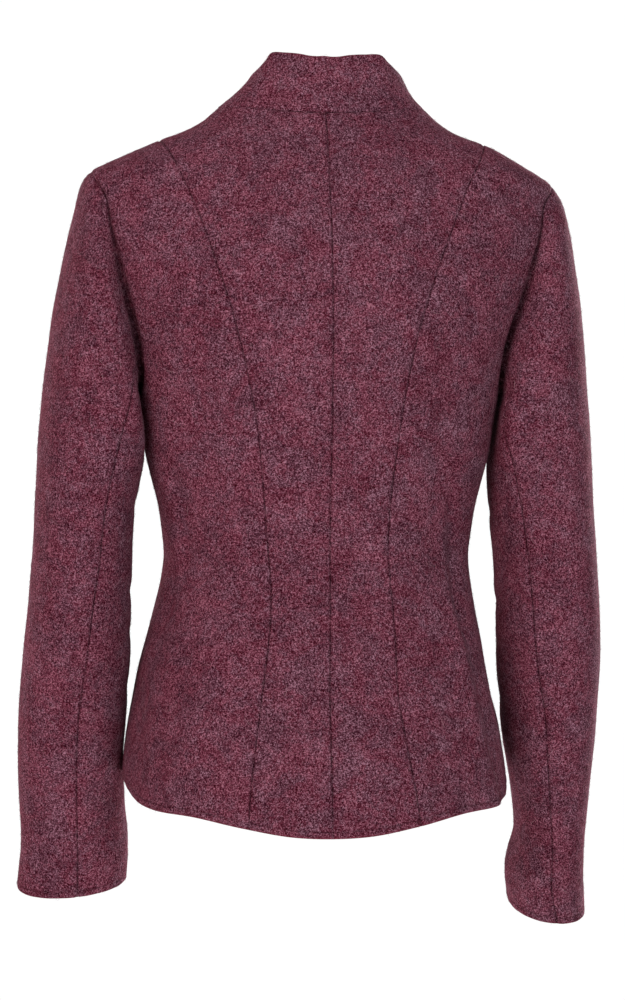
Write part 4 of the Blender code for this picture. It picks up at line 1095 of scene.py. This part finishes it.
def scattered(names, count, random):
    # points on the outer grids, as many on each cell as its area asks
    bases, normals, areas = [], [], []
    for name in names:
        grid, _ = outerSkins[name]
        corner = grid[:-1, :-1]
        areas.append(lengthOf(np.cross(grid[1:, :-1] - corner, grid[:-1, 1:] - corner)))
    total = sum(cell.sum() for cell in areas)
    for name, cell in zip(names, areas):
        grid, outs = outerSkins[name]
        number = int(round(count * cell.sum() / total))
        chosen = random.choice(cell.size, size=number, p=cell.ravel() / cell.sum())
        row, step = np.unravel_index(chosen, cell.shape)
        u, w = random.random((2, number, 1))
        bases.append((1 - u) * (1 - w) * grid[row, step] + u * (1 - w) * grid[row + 1, step]
                     + (1 - u) * w * grid[row, step + 1] + u * w * grid[row + 1, step + 1])
        normals.append(outs[row, step])
    return np.concatenate(bases), np.concatenate(normals)


for number, (name, members) in enumerate(fuzz["groups"].items()):
    random = np.random.default_rng(40 + number)
    vertices, faces, shades = [], [], []
    for kind in ("short", "long"):
        bases, normals = scattered(members, fuzz[f"{kind}Count"], random)
        count = len(bases)
        lengths = random.uniform(*fuzz[f"{kind}Length"], size=count)
        lifts = random.uniform(*fuzz["lift"], size=count) * (1.0 if kind == "short" else 0.6)
        radii = fuzz[f"{kind}Radius"] * random.uniform(0.8, 1.25, size=count)
        tubes, tubeFaces = fibreTubes(bases, normals, lengths, lifts, radii, random)
        faces.append(tubeFaces + sum(len(v) for v in vertices))
        vertices.append(tubes)
        low, high = (0.1, 0.75) if kind == "short" else (0.45, 1.0)
        shades.append(np.repeat(random.uniform(low, high, size=count), 12))
    piece = meshPiece(name, np.concatenate(vertices), np.concatenate(faces))
    setValues(piece, "fibreShade", np.concatenate(shades))
    piece.data.materials.append(fibreMaterial)
    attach(piece, "root")
print("loose fibres made")

# Plain pale floor, well below, and soft studio light.
studio = {"floorHeight": -1.38, "floorRadius": 3.4, "white": "#ffffff", "ambient": 0.11,
          "lights": {
              "key": ((1.8, 2.8, 0.9), (0.0, 0.0, -0.3), 1.5, 57, "#ffdce2"),
              "fill": ((-1.1, 3.0, 0.3), (0.0, 0.0, -0.35), 1.6, 33, "#f0fdff"),
              "top": ((0.0, 0.6, 2.4), (0.0, 0.0, -0.2), 1.6, 12, "#ffffff"),
              "rimRight": ((-2.0, -2.2, 0.1), (0.0, 0.0, -0.35), 1.0, 140, "#ffebef"),
              "rimLeft": ((2.0, -2.2, 0.1), (0.0, 0.0, -0.35), 1.0, 58, "#ffe6e8"),
              "front": ((0.3, -3.0, 0.8), (0.0, 0.0, -0.3), 1.8, 8, "#ffffff"),
          }}
turn = np.radians(np.arange(0, 360, 4))
rim = joined(np.cos(turn) * studio["floorRadius"], np.sin(turn) * studio["floorRadius"],
             np.full(len(turn), studio["floorHeight"]))
floor = meshPiece("floor", rim, [list(range(len(turn)))])
# Pale matt card, which sends soft light back up.
floor.data.materials.append(newMaterial("pale_floor", Base_Color=hexColour("#f4f4f4"),
                                        Roughness=0.9)[0])

for name, (place, aim, size, power, tint) in studio["lights"].items():
    lamp = bpy.data.lights.new(name, "AREA")
    lamp.energy, lamp.size, lamp.color = power, size, hexColour(tint)[:3]
    lampObject = bpy.data.objects.new(name, lamp)
    lampObject.location = place
    way = np.array(aim) - np.array(place)
    level = math.hypot(way[0], way[1])
    lampObject.rotation_euler = (math.atan2(level, -way[2]), 0, math.atan2(-way[0], way[1]))
    bpy.context.scene.collection.objects.link(lampObject)

world = bpy.context.scene.world = bpy.data.worlds.new("studio")
world.use_nodes = True
tree, background = world.node_tree, world.node_tree.nodes["Background"]
background.inputs["Color"].default_value = hexColour(studio["white"])
seen = addNode(tree, "ShaderNodeLightPath").outputs["Is Camera Ray"]
strength = addNode(tree, "ShaderNodeMapRange", [("Value", seen)], To_Min=studio["ambient"],
                   To_Max=1.02).outputs[0]
tree.links.new(strength, background.inputs["Strength"])
bpy.context.scene.view_settings.view_transform = "Standard"
print("studio made")
